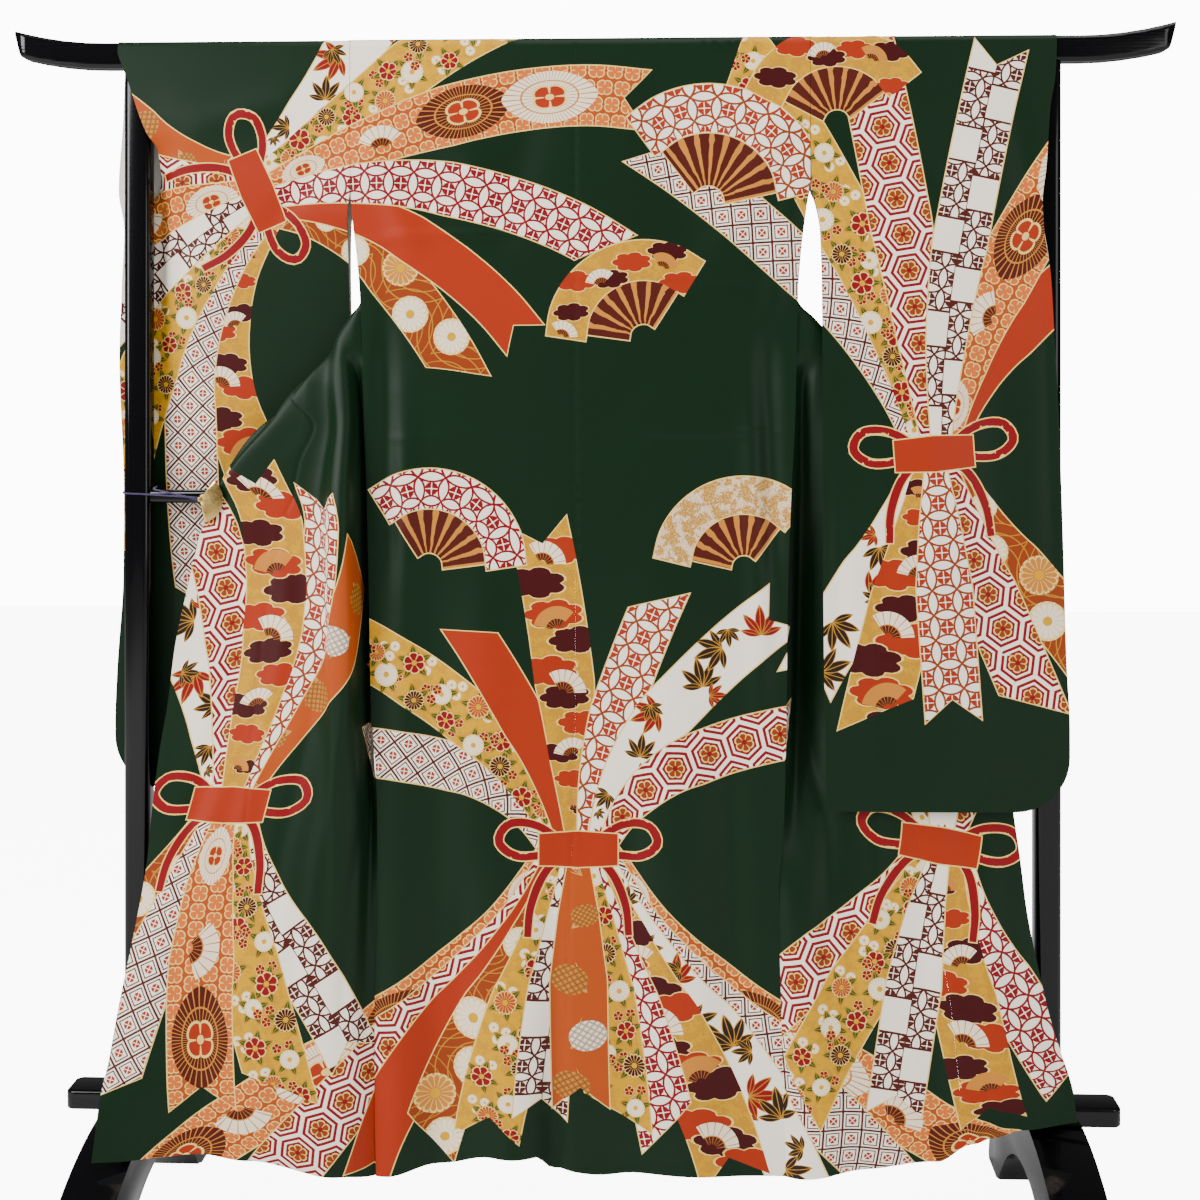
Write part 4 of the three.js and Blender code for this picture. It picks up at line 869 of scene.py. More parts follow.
# Right sleeve, standing, its heads reaching the shoulder
makeBundle(
    overRight, (48, 112), 94,
    heads=[("lattice", 38, 16, 60, 7.6, "notch"), ("coral", -44, -14, 36, 7, "notch"),
           ("gold", 20, 12, 66, 9, "slantL"),
           ("florets", -30, -10, 48, 8.8, "slantR"), ("kikko", 4, 6, 64, 8.8, "notch"),
           ("blocks", -14, -4, 58, 7.8, "notch")],
    tails=[("leaves", -38, 6, 36, 8.4, "notch"), ("grass", 38, -6, 36, 8, "notch"),
           ("clouds", -19, 2, 40, 9.2, "slantL"),
           ("kikko", 20, -2, 40, 8.4, "slantR"), ("shippoOchre", 0, 0, 37, 8, "notch")])

for on, pivot, turn, size, fill in (
        ({"back"}, (17, 147), 70, 17, "shippoOchre"), ({"back"}, (8, 128), 115, 14, "clouds"),
        ({"back"}, (-22, 96), 65, 14, "shippo"),
        ({"back"}, (22, 96), 110, 13, "goldPlain"), (overRight, (35, 158), 95, 14, "clouds")):
    makeFan(on, pivot, turn, size, fill)
print("ribbons:", len(ribbons))


def disc(count=22, squash=1.0):
    return [(math.cos(2 * math.pi * k / count),
             squash * math.sin(2 * math.pi * k / count)) for k in range(count)]


def leafOutline(width):
    upper = [(k / 7, width * math.sin(math.pi * k / 7) ** 0.8) for k in range(1, 7)]
    return [(0, 0)] + [(x, -y) for x, y in upper] + [(1, 0)] + upper[::-1]


def cloudOutline(size, lobes=7):
    points = []
    for k in range(lobes * 5):
        angle = 2 * math.pi * k / (lobes * 5)
        bump = 0.80 + 0.20 * abs(math.sin(lobes * angle / 2)) ** 0.7
        points.append((size * 1.25 * bump * math.cos(angle), size * 0.62 * bump * math.sin(angle)))
    return points


colours = ["crimson", "soot", "moss", "brown", "cream", "wine", "orange", "ochre", "coral", "outline"]
shade = {name: (k + 0.5) / len(colours) for k, name in enumerate(colours)}
lensOutline = [(1.3 * math.cos(t), 0.7 * math.copysign(abs(math.sin(t)) ** 1.35, math.sin(t)))
               for t in (2 * math.pi * k / 36 for k in range(36))]
fanPivot = -0.55       # the pivot lies below the middle of the motif
fanOutline = [(r * math.cos(math.radians(a)), fanPivot + r * math.sin(math.radians(a)))
              for r, turns in ((1.0, range(28, 153, 8)), (0.2, range(152, 27, -31))) for a in turns]


# One printed motif on a ribbon: its place as (along, across share), and its size in millimetres
def addStamp(ribbon, look, outline, at, angle, size, colour, count=0.0, level=False):
    u, v = at
    centre = ribbon["place"](u, v)
    ahead = ribbon["place"](u + 4, v) - ribbon["place"](u - 4, v)
    # a level motif ignores the ribbon's run
    turn = math.radians(angle) + (0 if level else math.atan2(ahead[1], ahead[0]))
    c, s = math.cos(turn), math.sin(turn)
    matrix = np.array([[c, s], [-s, c]]) * size
    points = np.array(outline) @ matrix + centre
    ribbon["stamps"].append({"look": look, "outline": points, "inverse": np.linalg.inv(matrix),
                             "centre": centre,
                             "colour": shade[colour], "count": count})


def addSpray(ribbon, at, angle, size, colour):
    for k, turn in enumerate((-78, -40, -4, 34, 72)):
        addStamp(ribbon, "leaf", leafOutline(0.17), at, angle + turn,
                 size * (0.78, 1.0, 1.08, 0.96, 0.74)[k], colour)


# Places along a ribbon with a little unevenness
def walk(ribbon, step, first=0.3):
    u = step * first
    k = 0
    while u < ribbon["at"][-1] - step * 0.15:
        yield k, u + rng.uniform(-0.08, 0.08) * step, np.interp(u, ribbon["at"], ribbon["half"])
        u += step * rng.uniform(0.92, 1.08)
        k += 1


for ribbon in ribbons:
    fill = ribbon["fill"]
    if fill == "leaves":
        for k, u, half in walk(ribbon, 62):
            side = 1 if k % 2 else -1
            addSpray(ribbon, (u, side * 0.25), 100 + side * 50 + rng.uniform(-20, 20), half * 0.98,
                     "soot" if k % 3 else "crimson")
        for k, u, half in walk(ribbon, 74, 0.75):
            side = -1 if k % 2 else 1
            addSpray(ribbon, (u, side * 0.62), -80 - side * 40, half * 0.6, "crimson" if k % 2 else "soot")
    elif fill == "grass":
        for k, u, half in walk(ribbon, 62):
            side = 0.42 if k % 2 else -0.36
            addStamp(ribbon, "blossom", disc(26), (u, side), rng.uniform(0, 20), half * 0.68,
                     "cream" if k % 3 else "ochre", 0.16)
    elif fill == "cones":
        for k, u, half in walk(ribbon, 74):
            side = 0.3 if k % 2 else -0.3
            for turn in (-24, -8, 8, 24):
                addStamp(ribbon, "plain", leafOutline(0.016), (u + 18, -side), 150 * side * 3 + turn,
                         half * 1.15, "outline")
            addStamp(ribbon, "cone", disc(18, 0.78), (u, side), 40 * side + 90, half * 0.66,
                     "cream" if k % 3 == 0 else "ochre", 0.07)
    elif fill == "florets":
        for k, u, half in walk(ribbon, 128, 0.5):
            if k % 3 == 1:
                addStamp(ribbon, "fan", fanOutline, (u, 0.05), rng.uniform(-25, 25), half * 1.0, "cream")
            else:
                addStamp(ribbon, "medallion", lensOutline, (u, 0.0), 0, half * 1.2,
                         "brown" if k % 3 else "cream", 0.2)
    elif fill == "clouds":
        for k, u, half in walk(ribbon, 40):
            side = (0.5, -0.55, 0.05)[k % 3]
            size, turn = half * rng.uniform(0.72, 0.92), rng.uniform(-8, 8)
            for grow, colour in ((1.0, "outline"), (0.93, "wine" if k % 2 else "coral")):
                addStamp(ribbon, "plain", cloudOutline(grow), (u, side), turn, size, colour, level=True)
        for k, u, half in walk(ribbon, 92, 0.6):
            addStamp(ribbon, "fan", fanOutline, (u, 0.1 if k % 2 else -0.1), 20 if k % 2 else -25, half * 0.8,
                     "cream" if k % 3 else "ochre", level=True)
    elif fill == "gold":
        for k, u, half in walk(ribbon, 27):
            side = (-0.5, 0.45, -0.1, 0.6)[k % 4] + rng.uniform(-0.1, 0.1)
            size = rng.uniform(12.5, 17)
            for turn in (15, 95, 160, 235, 305):
                addStamp(ribbon, "leaf", leafOutline(0.24), (u, side), turn + rng.uniform(-14, 14),
                         size + 11, "moss")
            addStamp(ribbon, "blossom", disc(20), (u, side), rng.uniform(0, 60), size,
                     ("crimson", "cream", "orange", "crimson", "cream", "wine")[k % 6],
                     0.16 if k % 3 else 0.06)
            for turn in range(3):       # a small cluster of plum blossoms on the other side
                addStamp(ribbon, "blossom", disc(14),
                         (u + 13 + 9 * math.cos(turn * 2.1), -side + 0.22 * math.sin(turn * 2.1)),
                         turn * 31, 7.2, ("crimson", "cream")[k % 2], 0.05)
print("motifs:", sum(len(r["stamps"]) for r in ribbons))


def insidePolygon(points, polygon):
    low, high = polygon.min(0), polygon.max(0)
    near = np.where(((points >= low) & (points <= high)).all(1))[0]
    inside = np.zeros(len(points), bool)
    if len(near) == 0:
        return inside
    x, z = points[near].T
    flips = np.zeros(len(near), bool)
    for (ax, az), (bx, bz) in zip(polygon, np.roll(polygon, -1, axis=0)):
        if az == bz:
            continue
        crosses = (az > z) != (bz > z)
        flips ^= crosses & (x < (bx - ax) * (z - az) / (bz - az) + ax)
    inside[near] = flips
    return inside


# Triangles of a patch cut along every ribbon and motif, and what each triangle shows
def trianglesOf(patch):
    border = np.array(patch["border"])
    low, high = border.min(0), border.max(0)
    stepX, stepZ = patch["step"]
    regions = []
    for root, ribbon in enumerate(ribbons):
        if patch["tag"] in ribbon["on"]:
            regions.append((root, ribbon, ribbon))
            regions += [(root, ribbon, stamp) for stamp in ribbon["stamps"]]
    regions = [r for r in regions
               if (r[2]["outline"].max(0) > low).all() and (r[2]["outline"].min(0) < high).all()]
    points = []
    z, k = low[1] + stepZ / 2, 0
    while z < high[1]:      # closer rows where a tight fold crosses the cloth
        close = patch["fine"] and patch["fine"][0] < z < patch["fine"][1]
        dx, dz = patch["fine"][2:] if close else (stepX, stepZ)
        x = np.arange(low[0] + dx * (0.25 + 0.5 * (k % 2)), high[0], dx)
        points.append(np.stack([x, np.full(len(x), z)], axis=1))
        z, k = z + dz, k + 1
    points = np.concatenate(points)
    points = points[insidePolygon(points, border)]
    base = len(border)
    coordinates = [border, points]
    edges = [(k, (k + 1) % base) for k in range(base)]
    count = base + len(points)
    margin = 25.0
    for _, _, region in regions:
        outline = region["outline"]
        near = ((outline > low - margin) & (outline < high + margin)).all(1)
        index = np.cumsum(near) - 1 + count
        for k in range(len(outline)):
            after = (k + 1) % len(outline)
            if near[k] and near[after]:
                edges.append((int(index[k]), int(index[after])))
        coordinates.append(outline[near])
        count += int(near.sum())
    everything = np.concatenate(coordinates)
    result = delaunay_2d_cdt([Vector(p) for p in everything], edges, [], 0, 1e-3, False)
    vertices = np.array([tuple(v) for v in result[0]])
    triangles = np.array([f for f in result[2] if len(f) == 3])
    a, b, c = (vertices[triangles[:, k]] for k in range(3))
    area = (b[:, 0] - a[:, 0]) * (c[:, 1] - a[:, 1]) - (b[:, 1] - a[:, 1]) * (c[:, 0] - a[:, 0])
    triangles[area < 0] = triangles[area < 0][:, ::-1]
    middle = (a + b + c) / 3
    keep = insidePolygon(middle, border) & (np.abs(area) > 1e-4)
    triangles, middle = triangles[keep], middle[keep]
    shown = np.full(len(triangles), -1)
    roots = np.full(len(triangles), -1)
    for k, (root, _, region) in enumerate(regions):
        inside = insidePolygon(middle, region["outline"])
        if "look" in region:
            inside &= roots == root
        shown[inside] = k
        roots[inside] = root
    return vertices, triangles, shown, regions


# One closed shell for a sewn piece, printed outside and lined inside
def clothObject(name, patches):
    wall = cloth["wall"]
    vertices, faces, looks, normals, uvs = [], [], [], [], {"pattern": [], "rim": [], "cloth": [],
                                                            "OFBake": []}
    offset = 0
    chartX = 0.0
    flatArea = 0.0
    for patch in patches:
        flat, triangles, shown, regions = trianglesOf(patch)
        used, inverse = np.unique(triangles, return_inverse=True)
        flat, triangles = flat[used], inverse.reshape(-1, 3)
        middle = readPatch(patch, flat[:, 0], flat[:, 1])
        normal = readNormals(patch, flat[:, 0], flat[:, 1])
        count = len(flat)
        vertices += [middle + normal * wall / 2, middle - normal * wall / 2]
        corner = triangles.ravel()
        pattern = np.zeros((len(corner), 2))
        rim = np.full((len(corner), 2), 1.0)
        look = ["ground"] * len(triangles)
        for k, (_, ribbon, region) in enumerate(regions):
            mine = np.where(shown == k)[0]
            if len(mine) == 0:
                continue
            loops = (mine[:, None] * 3 + np.arange(3)).ravel()
            places = flat[corner[loops]]
            if "look" in region:
                pattern[loops] = (places - region["centre"]) @ region["inverse"]
                rim[loops] = (region["colour"], region["count"])
                label = region["look"]
            else:
                u, v, side, ends = ribbonCoordinates(ribbon, places)
                pattern[loops] = np.stack([u, v], axis=1) * mm
                rim[loops] = np.stack([side, ends], axis=1) * mm
                label = ribbon["fill"]
            for f in mine:
                look[f] = label
        low, high = flat.min(0), flat.max(0)
        width = high[0] - low[0] + 16
        charts = [flat - low + (chartX + 8, 8), flat - low + (chartX + width + 8, 8)]
        chartX += 2 * width
        # outer faces
        faces.append(triangles + offset)
        looks += look
        normals.append(normal[corner])
        uvs["pattern"].append(pattern)
        uvs["rim"].append(rim)
        uvs["cloth"].append(flat[corner] * mm)
        uvs["OFBake"].append(charts[0][corner])
        # inner faces
        reverse = triangles[:, ::-1].ravel()
        faces.append(triangles[:, ::-1] + offset + count)
        looks += ["lining"] * len(triangles)
        normals.append(-normal[reverse])
        uvs["pattern"].append(np.zeros((len(reverse), 2)))
        uvs["rim"].append(np.full((len(reverse), 2), 1.0))
        uvs["cloth"].append(flat[reverse] * mm)
        uvs["OFBake"].append(charts[1][reverse])
        # the narrow wall round the edge
        directed = np.concatenate([triangles[:, [0, 1]], triangles[:, [1, 2]], triangles[:, [2, 0]]])
        key = np.sort(directed, axis=1)
        _, first, times = np.unique(key, axis=0, return_index=True, return_counts=True)
        edge = directed[first[times == 1]]
        a, b = edge[:, 0], edge[:, 1]
        ring = np.concatenate([np.stack([b, a, a + count], axis=1),
                               np.stack([b, a + count, b + count], axis=1)])
        faces.append(ring + offset)
        looks += ["ground"] * len(ring)
        normals.append(np.zeros((ring.size, 3)))
        out = np.stack([flat[b, 1] - flat[a, 1], flat[a, 0] - flat[b, 0]], axis=1)
        out /= np.maximum(np.linalg.norm(out, axis=1), 1e-9)[:, None]
        fa, fb = charts[0][a], charts[0][b]
        strip = np.concatenate([np.stack([fb, fa, fa + 3 * out], axis=1),
                                np.stack([fb, fa + 3 * out, fb + 3 * out], axis=1)])
        uvs["OFBake"].append(strip.reshape(-1, 2))
        uvs["pattern"].append(np.zeros((ring.size, 2)))
        uvs["rim"].append(np.full((ring.size, 2), 1.0))
        uvs["cloth"].append(flat[ring.ravel() % count] * mm)
        offset += 2 * count
        border = np.array(patch["border"])
        after = np.roll(border, -1, axis=0)
        flatArea += abs((border[:, 0] * after[:, 1] - border[:, 1] * after[:, 0]).sum()) / 2 * mm * mm
    points = np.concatenate(vertices) * mm
    loops = np.concatenate(faces).astype(np.int32)
    mesh = bpy.data.meshes.new(name + "_cloth")
    mesh.vertices.add(len(points))
    mesh.vertices.foreach_set("co", points.astype(np.float32).ravel())
    mesh.loops.add(loops.size)
    mesh.loops.foreach_set("vertex_index", loops.ravel())
    mesh.polygons.add(len(loops))
    mesh.polygons.foreach_set("loop_start", np.arange(0, loops.size, 3, dtype=np.int32))
    names = sorted(set(looks))
    order = {n: k for k, n in enumerate(names)}
    for n in names:
        mesh.materials.append(materials[n])
    mesh.polygons.foreach_set("material_index", np.array([order[n] for n in looks], np.int32))
    tall = max(chartX, 1.0)
    highest = np.concatenate(uvs["OFBake"])[:, 1].max() + 8
    for label, values in uvs.items():
        layer = mesh.uv_layers.new(name=label)
        data = np.concatenate(values)
        if label == "OFBake":
            data = data / max(tall, highest)
        layer.data.foreach_set("uv", data.astype(np.float32).ravel())
    mesh.update(calc_edges=True)
    mesh.validate()
    mesh.normals_split_custom_set(np.concatenate(normals).astype(np.float32))
    thing = addObject(name + "_cloth", mesh)
    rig.replaces(thing, name)
    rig.ride(thing, "root")
    print(name, "triangles:", len(loops), "flat area:", round(flatArea, 3))
    return thing, flatArea


# A colour written as rrggbb, made linear
def tone(text):
    values = [int(text[k:k + 2], 16) / 255 for k in (0, 2, 4)]
    return tuple(v / 12.92 if v <= 0.04045 else ((v + 0.055) / 1.055) ** 2.4 for v in values) + (1.0,)


dye = {
    "green": tone("06200c"), "rust": tone("86340c"), "coral": tone("98280a"), "cream": tone("ead9bf"),
    "leafGold": tone("c89400"), "sand": tone("b07c1c"), "orange": tone("a4430e"), "wine": tone("3c0608"),
    "crimson": tone("7c0610"), "ochre": tone("b9762a"), "soot": tone("231713"), "moss": tone("2c4a12"),
    "outline": tone("e2bd6a"), "peach": tone("c56426"), "brown": tone("4a150c"), "white": tone("f2e7d6"),
    "lining": tone("ece5da"),
}


# A number travelling through a node tree
class Wire:
    def __init__(self, tree, socket):
        self.tree, self.socket = tree, socket

    def __add__(self, other):
        return calc(self.tree, "ADD", self, other)

    def __sub__(self, other):
        return calc(self.tree, "SUBTRACT", self, other)

    def __mul__(self, other):
        return calc(self.tree, "MULTIPLY", self, other)

    def __truediv__(self, other):
        return calc(self.tree, "DIVIDE", self, other)

    def __rsub__(self, other):
        return calc(self.tree, "SUBTRACT", other, self)

    def abs(self):
        return calc(self.tree, "ABSOLUTE", self)

    def fract(self):
        return calc(self.tree, "FRACT", self)

    def floor(self):
        return calc(self.tree, "FLOOR", self)

    def sqrt(self):
        return calc(self.tree, "SQRT", self)

    def sin(self):
        return calc(self.tree, "SINE", self)

    def below(self, other):
        return calc(self.tree, "LESS_THAN", self, other)

    def above(self, other):
        return calc(self.tree, "GREATER_THAN", self, other)

    def least(self, other):
        return calc(self.tree, "MINIMUM", self, other)

    def most(self, other):
        return calc(self.tree, "MAXIMUM", self, other)

    def wrap(self, size):
        return calc(self.tree, "FLOORED_MODULO", self, size)

    def near(self, value, width):
        return (self - value).abs().below(width)


def feed(tree, socket, value):
    if isinstance(value, Wire):
        tree.links.new(value.socket, socket)
    elif value is not None:
        socket.default_value = value


def calc(tree, operation, *values):
    node = tree.nodes.new("ShaderNodeMath")
    node.operation = operation
    for socket, value in zip(node.inputs, values):
        feed(tree, socket, value)
    return Wire(tree, node.outputs[0])


def distance(x, y):
    return (x * x + y * y).sqrt()


# Colour a where the mask is 0 and colour b where it is 1
def blend(tree, mask, a, b):
    node = tree.nodes.new("ShaderNodeMix")
    node.data_type = "RGBA"
    feed(tree, node.inputs["Factor"], mask)
    feed(tree, [s for s in node.inputs if s.name == "A" and s.type == "RGBA"][0], a)
    feed(tree, [s for s in node.inputs if s.name == "B" and s.type == "RGBA"][0], b)
    return Wire(tree, [s for s in node.outputs if s.type == "RGBA"][0])


def noise(tree, vector, scale, detail=3.0, roughness=0.55):
    node = tree.nodes.new("ShaderNodeTexNoise")
    feed(tree, node.inputs["Vector"], vector)
    node.inputs["Scale"].default_value = scale
    node.inputs["Detail"].default_value = detail
    node.inputs["Roughness"].default_value = roughness
    return Wire(tree, node.outputs["Fac"])


# A shader group. inputs and outputs give each socket's kind
def makeGroup(name, inputs, outputs, build):
    tree = bpy.data.node_groups.new(name, "ShaderNodeTree")
    for label, kind in inputs.items():
        tree.interface.new_socket(label, in_out="INPUT", socket_type="NodeSocket" + kind)
    for label, kind in outputs.items():
        tree.interface.new_socket(label, in_out="OUTPUT", socket_type="NodeSocket" + kind)
    source, target = tree.nodes.new("NodeGroupInput"), tree.nodes.new("NodeGroupOutput")
    results = build(tree, *[Wire(tree, source.outputs[label]) for label in inputs])
    for label, wire in zip(outputs, results):
        tree.links.new(wire.socket, target.inputs[label])
    return tree


def useGroup(tree, group, *values):
    node = tree.nodes.new("ShaderNodeGroup")
    node.node_tree = group
    for socket, value in zip(node.inputs, values):
        feed(tree, socket, value)
    return [Wire(tree, socket) for socket in node.outputs]


number = "Float"
plane = {"U": number, "V": number, "Size": number}


# A blossom of unit radius: its shape, its petal lines and its heart
def petalsBuild(tree, x, y, count):
    turn = calc(tree, "ARCTAN2", y, x) * (1 / (2 * math.pi))
    part = ((turn * count).fract() - 0.5).abs() * 2
    radius = distance(x, y)
    reach = (1 - part * part).sqrt() * 0.3 + 0.68
    shape = radius.below(reach)
    line = radius.near(reach, 0.075).most(part.above(0.86) * radius.above(0.3) * shape)
    return shape, line, radius.below(0.24)


def latticeBuild(tree, u, v, size):
    a, b = (u + v) / size, (u - v) / size
    fa, fb = (a.fract() - 0.5).abs(), (b.fract() - 0.5).abs()
    least = fa.least(fb)
    line = least.below(0.055).most(least.near(0.17, 0.032))
    heart = distance(0.5 - fa, 0.5 - fb)
    bloom = heart.below(0.21) * (fa - fb).abs().above(0.03)
    return line, bloom


def shippoBuild(tree, u, v, size):
    a, b = (u / size).fract(), (v / size).fract()
    corners = [distance(a, b), distance(1 - a, b), distance(a, 1 - b), distance(1 - a, 1 - b)]
    radius = math.sqrt(0.5)
    lines = [d.near(radius, 0.042) for d in corners]
    line = lines[0].most(lines[1]).most(lines[2]).most(lines[3])
    nearest = corners[0].least(corners[1]).least(corners[2]).least(corners[3])
    x, y = 0.5 - (a - 0.5).abs(), 0.5 - (b - 0.5).abs()
    bloom = nearest.below(0.27) * x.least(y).above(0.018) * nearest.above(0.05)
    return line, bloom


# Hexagons: the outer line, the inner line, and the place inside each hexagon
def kikkoBuild(tree, u, v, size):
    x, y = u / size, v / size
    tall = math.sqrt(3)
    ax, ay = (x + 0.5).wrap(1.0) - 0.5, (y + tall / 2).wrap(tall) - tall / 2
    bx, by = x.wrap(1.0) - 0.5, y.wrap(tall) - tall / 2
    first = distance(ax, ay).below(distance(bx, by))
    gx, gy = ax * first + bx * (1 - first), ay * first + by * (1 - first)
    reach = gx.abs().most(gx.abs() * 0.5 + gy.abs() * (tall / 2))
    return reach.above(0.445), reach.near(0.335, 0.03), gx * 3.9, gy * 3.9


# Staggered blocks in two rows: inside a block, and the thin frame round it
def blocksBuild(tree, u, v, size):
    row = v.above(0.0)
    along = (u / size + row * 0.5).fract()
    inside = along.below(0.62)
    frame = along.near(0.0, 0.012).most(along.near(0.62, 0.012)).most(along.near(1.0,
            0.012)).most(v.near(0.0, 0.0012) * inside)
    return inside, frame


# Small outlined blossoms in staggered rows
def floretsBuild(tree, u, v, size):
    row = (v / size).floor()
    x, y = ((u / size + row * 0.5).fract() - 0.5) * 2.1, ((v / size).fract() - 0.5) * 2.1
    return x, y


# Long blades of grass that cross in arcs
def grassBuild(tree, u, v, size):
    masks = []
    for shiftU, shiftV, pitch in ((0.0, 0.55, 7.0), (0.5, -0.6, 6.0)):
        x, y = ((u / size + shiftU).fract() - 0.5) * 1.4, v / size + shiftV
        radius = distance(x, y)
        masks.append(((radius * pitch).fract() - 0.5).abs().below(0.045))
    return (masks[0].most(masks[1]),)


# Fine woven relief and a soft unevenness of the dye
def weaveBuild(tree, vector, strength):
    fine = noise(tree, vector, 900.0, 2.0)
    soft = noise(tree, vector, 7.0, 3.0)
    bump = tree.nodes.new("ShaderNodeBump")
    bump.inputs["Distance"].default_value = 0.0004
    feed(tree, bump.inputs["Strength"], strength)
    feed(tree, bump.inputs["Height"], fine)
    return Wire(tree, bump.outputs["Normal"]), soft * 0.18 + 0.91, fine * 0.10 + 0.42


# Gold leaf broken into grains and flakes
def sandBuild(tree, u, v):
    node = tree.nodes.new("ShaderNodeCombineXYZ")
    feed(tree, node.inputs["X"], u)
    feed(tree, node.inputs["Y"], v)
    place = Wire(tree, node.outputs[0])
    return noise(tree, place, 420.0, 2.0).above(0.53), noise(tree, place, 60.0, 4.0, 0.7).above(0.52)


groups = {
    "petals": makeGroup("printed blossom", {"X": number, "Y": number, "Petals": number},
                        {"Shape": number, "Line": number, "Heart": number}, petalsBuild),
    "lattice": makeGroup("diamond lattice", plane, {"Line": number, "Bloom": number}, latticeBuild),
    "shippo": makeGroup("linked circles", plane, {"Line": number, "Bloom": number}, shippoBuild),
    "kikko": makeGroup("hexagons", plane, {"Outer": number, "Inner": number, "X": number, "Y": number},
                       kikkoBuild),
    "blocks": makeGroup("square blocks", plane, {"Inside": number, "Frame": number}, blocksBuild),
    "florets": makeGroup("staggered cells", plane, {"X": number, "Y": number}, floretsBuild),
    "grass": makeGroup("crossing grasses", plane, {"Line": number}, grassBuild),
    "sand": makeGroup("gold sand", {"U": number, "V": number}, {"Grain": number, "Flake": number}, sandBuild),
    "weave": makeGroup("silk weave", {"Place": "Vector", "Relief": number},
                       {"Normal": "Vector", "Dye": number, "Roughness": number}, weaveBuild),
}


def uvWires(tree, name):
    node = tree.nodes.new("ShaderNodeUVMap")
    node.uv_map = name
    split = tree.nodes.new("ShaderNodeSeparateXYZ")
    tree.links.new(node.outputs["UV"], split.inputs[0])
    return Wire(tree, split.outputs["X"]), Wire(tree, split.outputs["Y"]), Wire(tree, node.outputs["UV"])


def palette(tree, wire, names):
    node = tree.nodes.new("ShaderNodeValToRGB")
    ramp = node.color_ramp
    ramp.interpolation = "CONSTANT"
    while len(ramp.elements) < len(names):
        ramp.elements.new(1.0)
    for k, name in enumerate(names):
        ramp.elements[k].position = k / len(names)
        ramp.elements[k].color = dye.get(name, dye["sand"])
    feed(tree, node.inputs["Fac"], wire)
    return Wire(tree, node.outputs["Color"])


silk = {
    "sheen": 0.03,
    "sheenRoughness": 0.35,
    "specular": 0.16,
    "relief": 0.25,
    "outline": 0.0017,      # width of the gold line round a ribbon, in metres
}
# Sizes of the repeats in metres, the cone's as a share of its motif
repeats = {
    "lattice": 0.038,
    "circles": 0.034,
    "blockCircles": 0.030,
    "hexagons": 0.051,
    "blocks": 0.13,
    "florets": 0.024,
    "grass": 0.11,
    "cone": 0.42,
}


# A dyed silk. paint gives the colour from the pattern's coordinates
def silkMaterial(name, paint, outline=True):
    material, tree, shader = newMaterial(name)
    u, v, _ = uvWires(tree, "pattern")
    side, ends, _ = uvWires(tree, "rim")
    _, _, place = uvWires(tree, "cloth")
    normal, dyeing, roughness = useGroup(tree, groups["weave"], place, silk["relief"])
    colour = paint(tree, u, v, side, ends)
    if outline:
        colour = blend(tree, side.least(ends).below(silk["outline"]), colour, dye["outline"])
    value = tree.nodes.new("ShaderNodeHueSaturation")
    feed(tree, value.inputs["Color"], colour)
    feed(tree, value.inputs["Value"], dyeing)
    tree.links.new(value.outputs["Color"], shader.inputs["Base Color"])
    tree.links.new(normal.socket, shader.inputs["Normal"])
    tree.links.new(roughness.socket, shader.inputs["Roughness"])
    shader.inputs["Sheen Weight"].default_value = silk["sheen"]
    shader.inputs["Sheen Roughness"].default_value = silk["sheenRoughness"]
    shader.inputs["Specular IOR Level"].default_value = silk["specular"]
    return material


def plainPaint(name):
    return lambda tree, u, v, side, ends: blend(tree, 0.0, dye[name], dye[name])


def paintLattice(tree, u, v, side, ends):
    line, bloom = useGroup(tree, groups["lattice"], u, v, repeats["lattice"])
    return blend(tree, bloom, blend(tree, line, dye["white"], dye["brown"]), dye["coral"])


def shippoPaint(bloomName, groundName, lineName):
    def paint(tree, u, v, side, ends):
        line, bloom = useGroup(tree, groups["shippo"], u, v, repeats["circles"])
        return blend(tree, bloom, blend(tree, line, dye[groundName], dye[lineName]), dye[bloomName])
    return paint


def paintKikko(tree, u, v, side, ends):
    outer, inner, x, y = useGroup(tree, groups["kikko"], u, v, repeats["hexagons"])
    shape, line, heart = useGroup(tree, groups["petals"], x, y, 6.0)
    base = blend(tree, outer, dye["crimson"], dye["white"])
    base = blend(tree, inner, base, dye["white"])
    base = blend(tree, shape, base, dye["rust"])
    base = blend(tree, line * (1 - outer), base, dye["outline"])
    return blend(tree, heart, base, dye["crimson"])


def paintBlocks(tree, u, v, side, ends):
    inside, edge = useGroup(tree, groups["blocks"], u, v, repeats["blocks"])
    line, bloom = useGroup(tree, groups["shippo"], u, v, repeats["blockCircles"])
    return blend(tree, edge.most(inside * line.most(bloom)), dye["white"], dye["brown"])


def paintFlorets(tree, u, v, side, ends):
    x, y = useGroup(tree, groups["florets"], u, v, repeats["florets"])
    shape, line, _ = useGroup(tree, groups["petals"], x, y, 4.0)
    return blend(tree, line, blend(tree, shape, dye["orange"], dye["peach"]), dye["outline"])


def paintGrass(tree, u, v, side, ends):
    line, = useGroup(tree, groups["grass"], u, v, repeats["grass"])
    return blend(tree, line, dye["rust"], dye["sand"])


def paintSand(main, bright):
    def paint(tree, u, v, side, ends):
        grain, flake = useGroup(tree, groups["sand"], u, v)
        return blend(tree, flake * 0.5 + grain * 0.3, dye[main], dye[bright])
    return paint


# Ribs of an open fan
def paintRibs(tree, u, v, side, ends):
    return blend(tree, (u * 70).fract().below(0.35), dye["brown"], dye["ochre"])


def paintStamp(tree, u, v, side, ends):
    return palette(tree, side, colours)


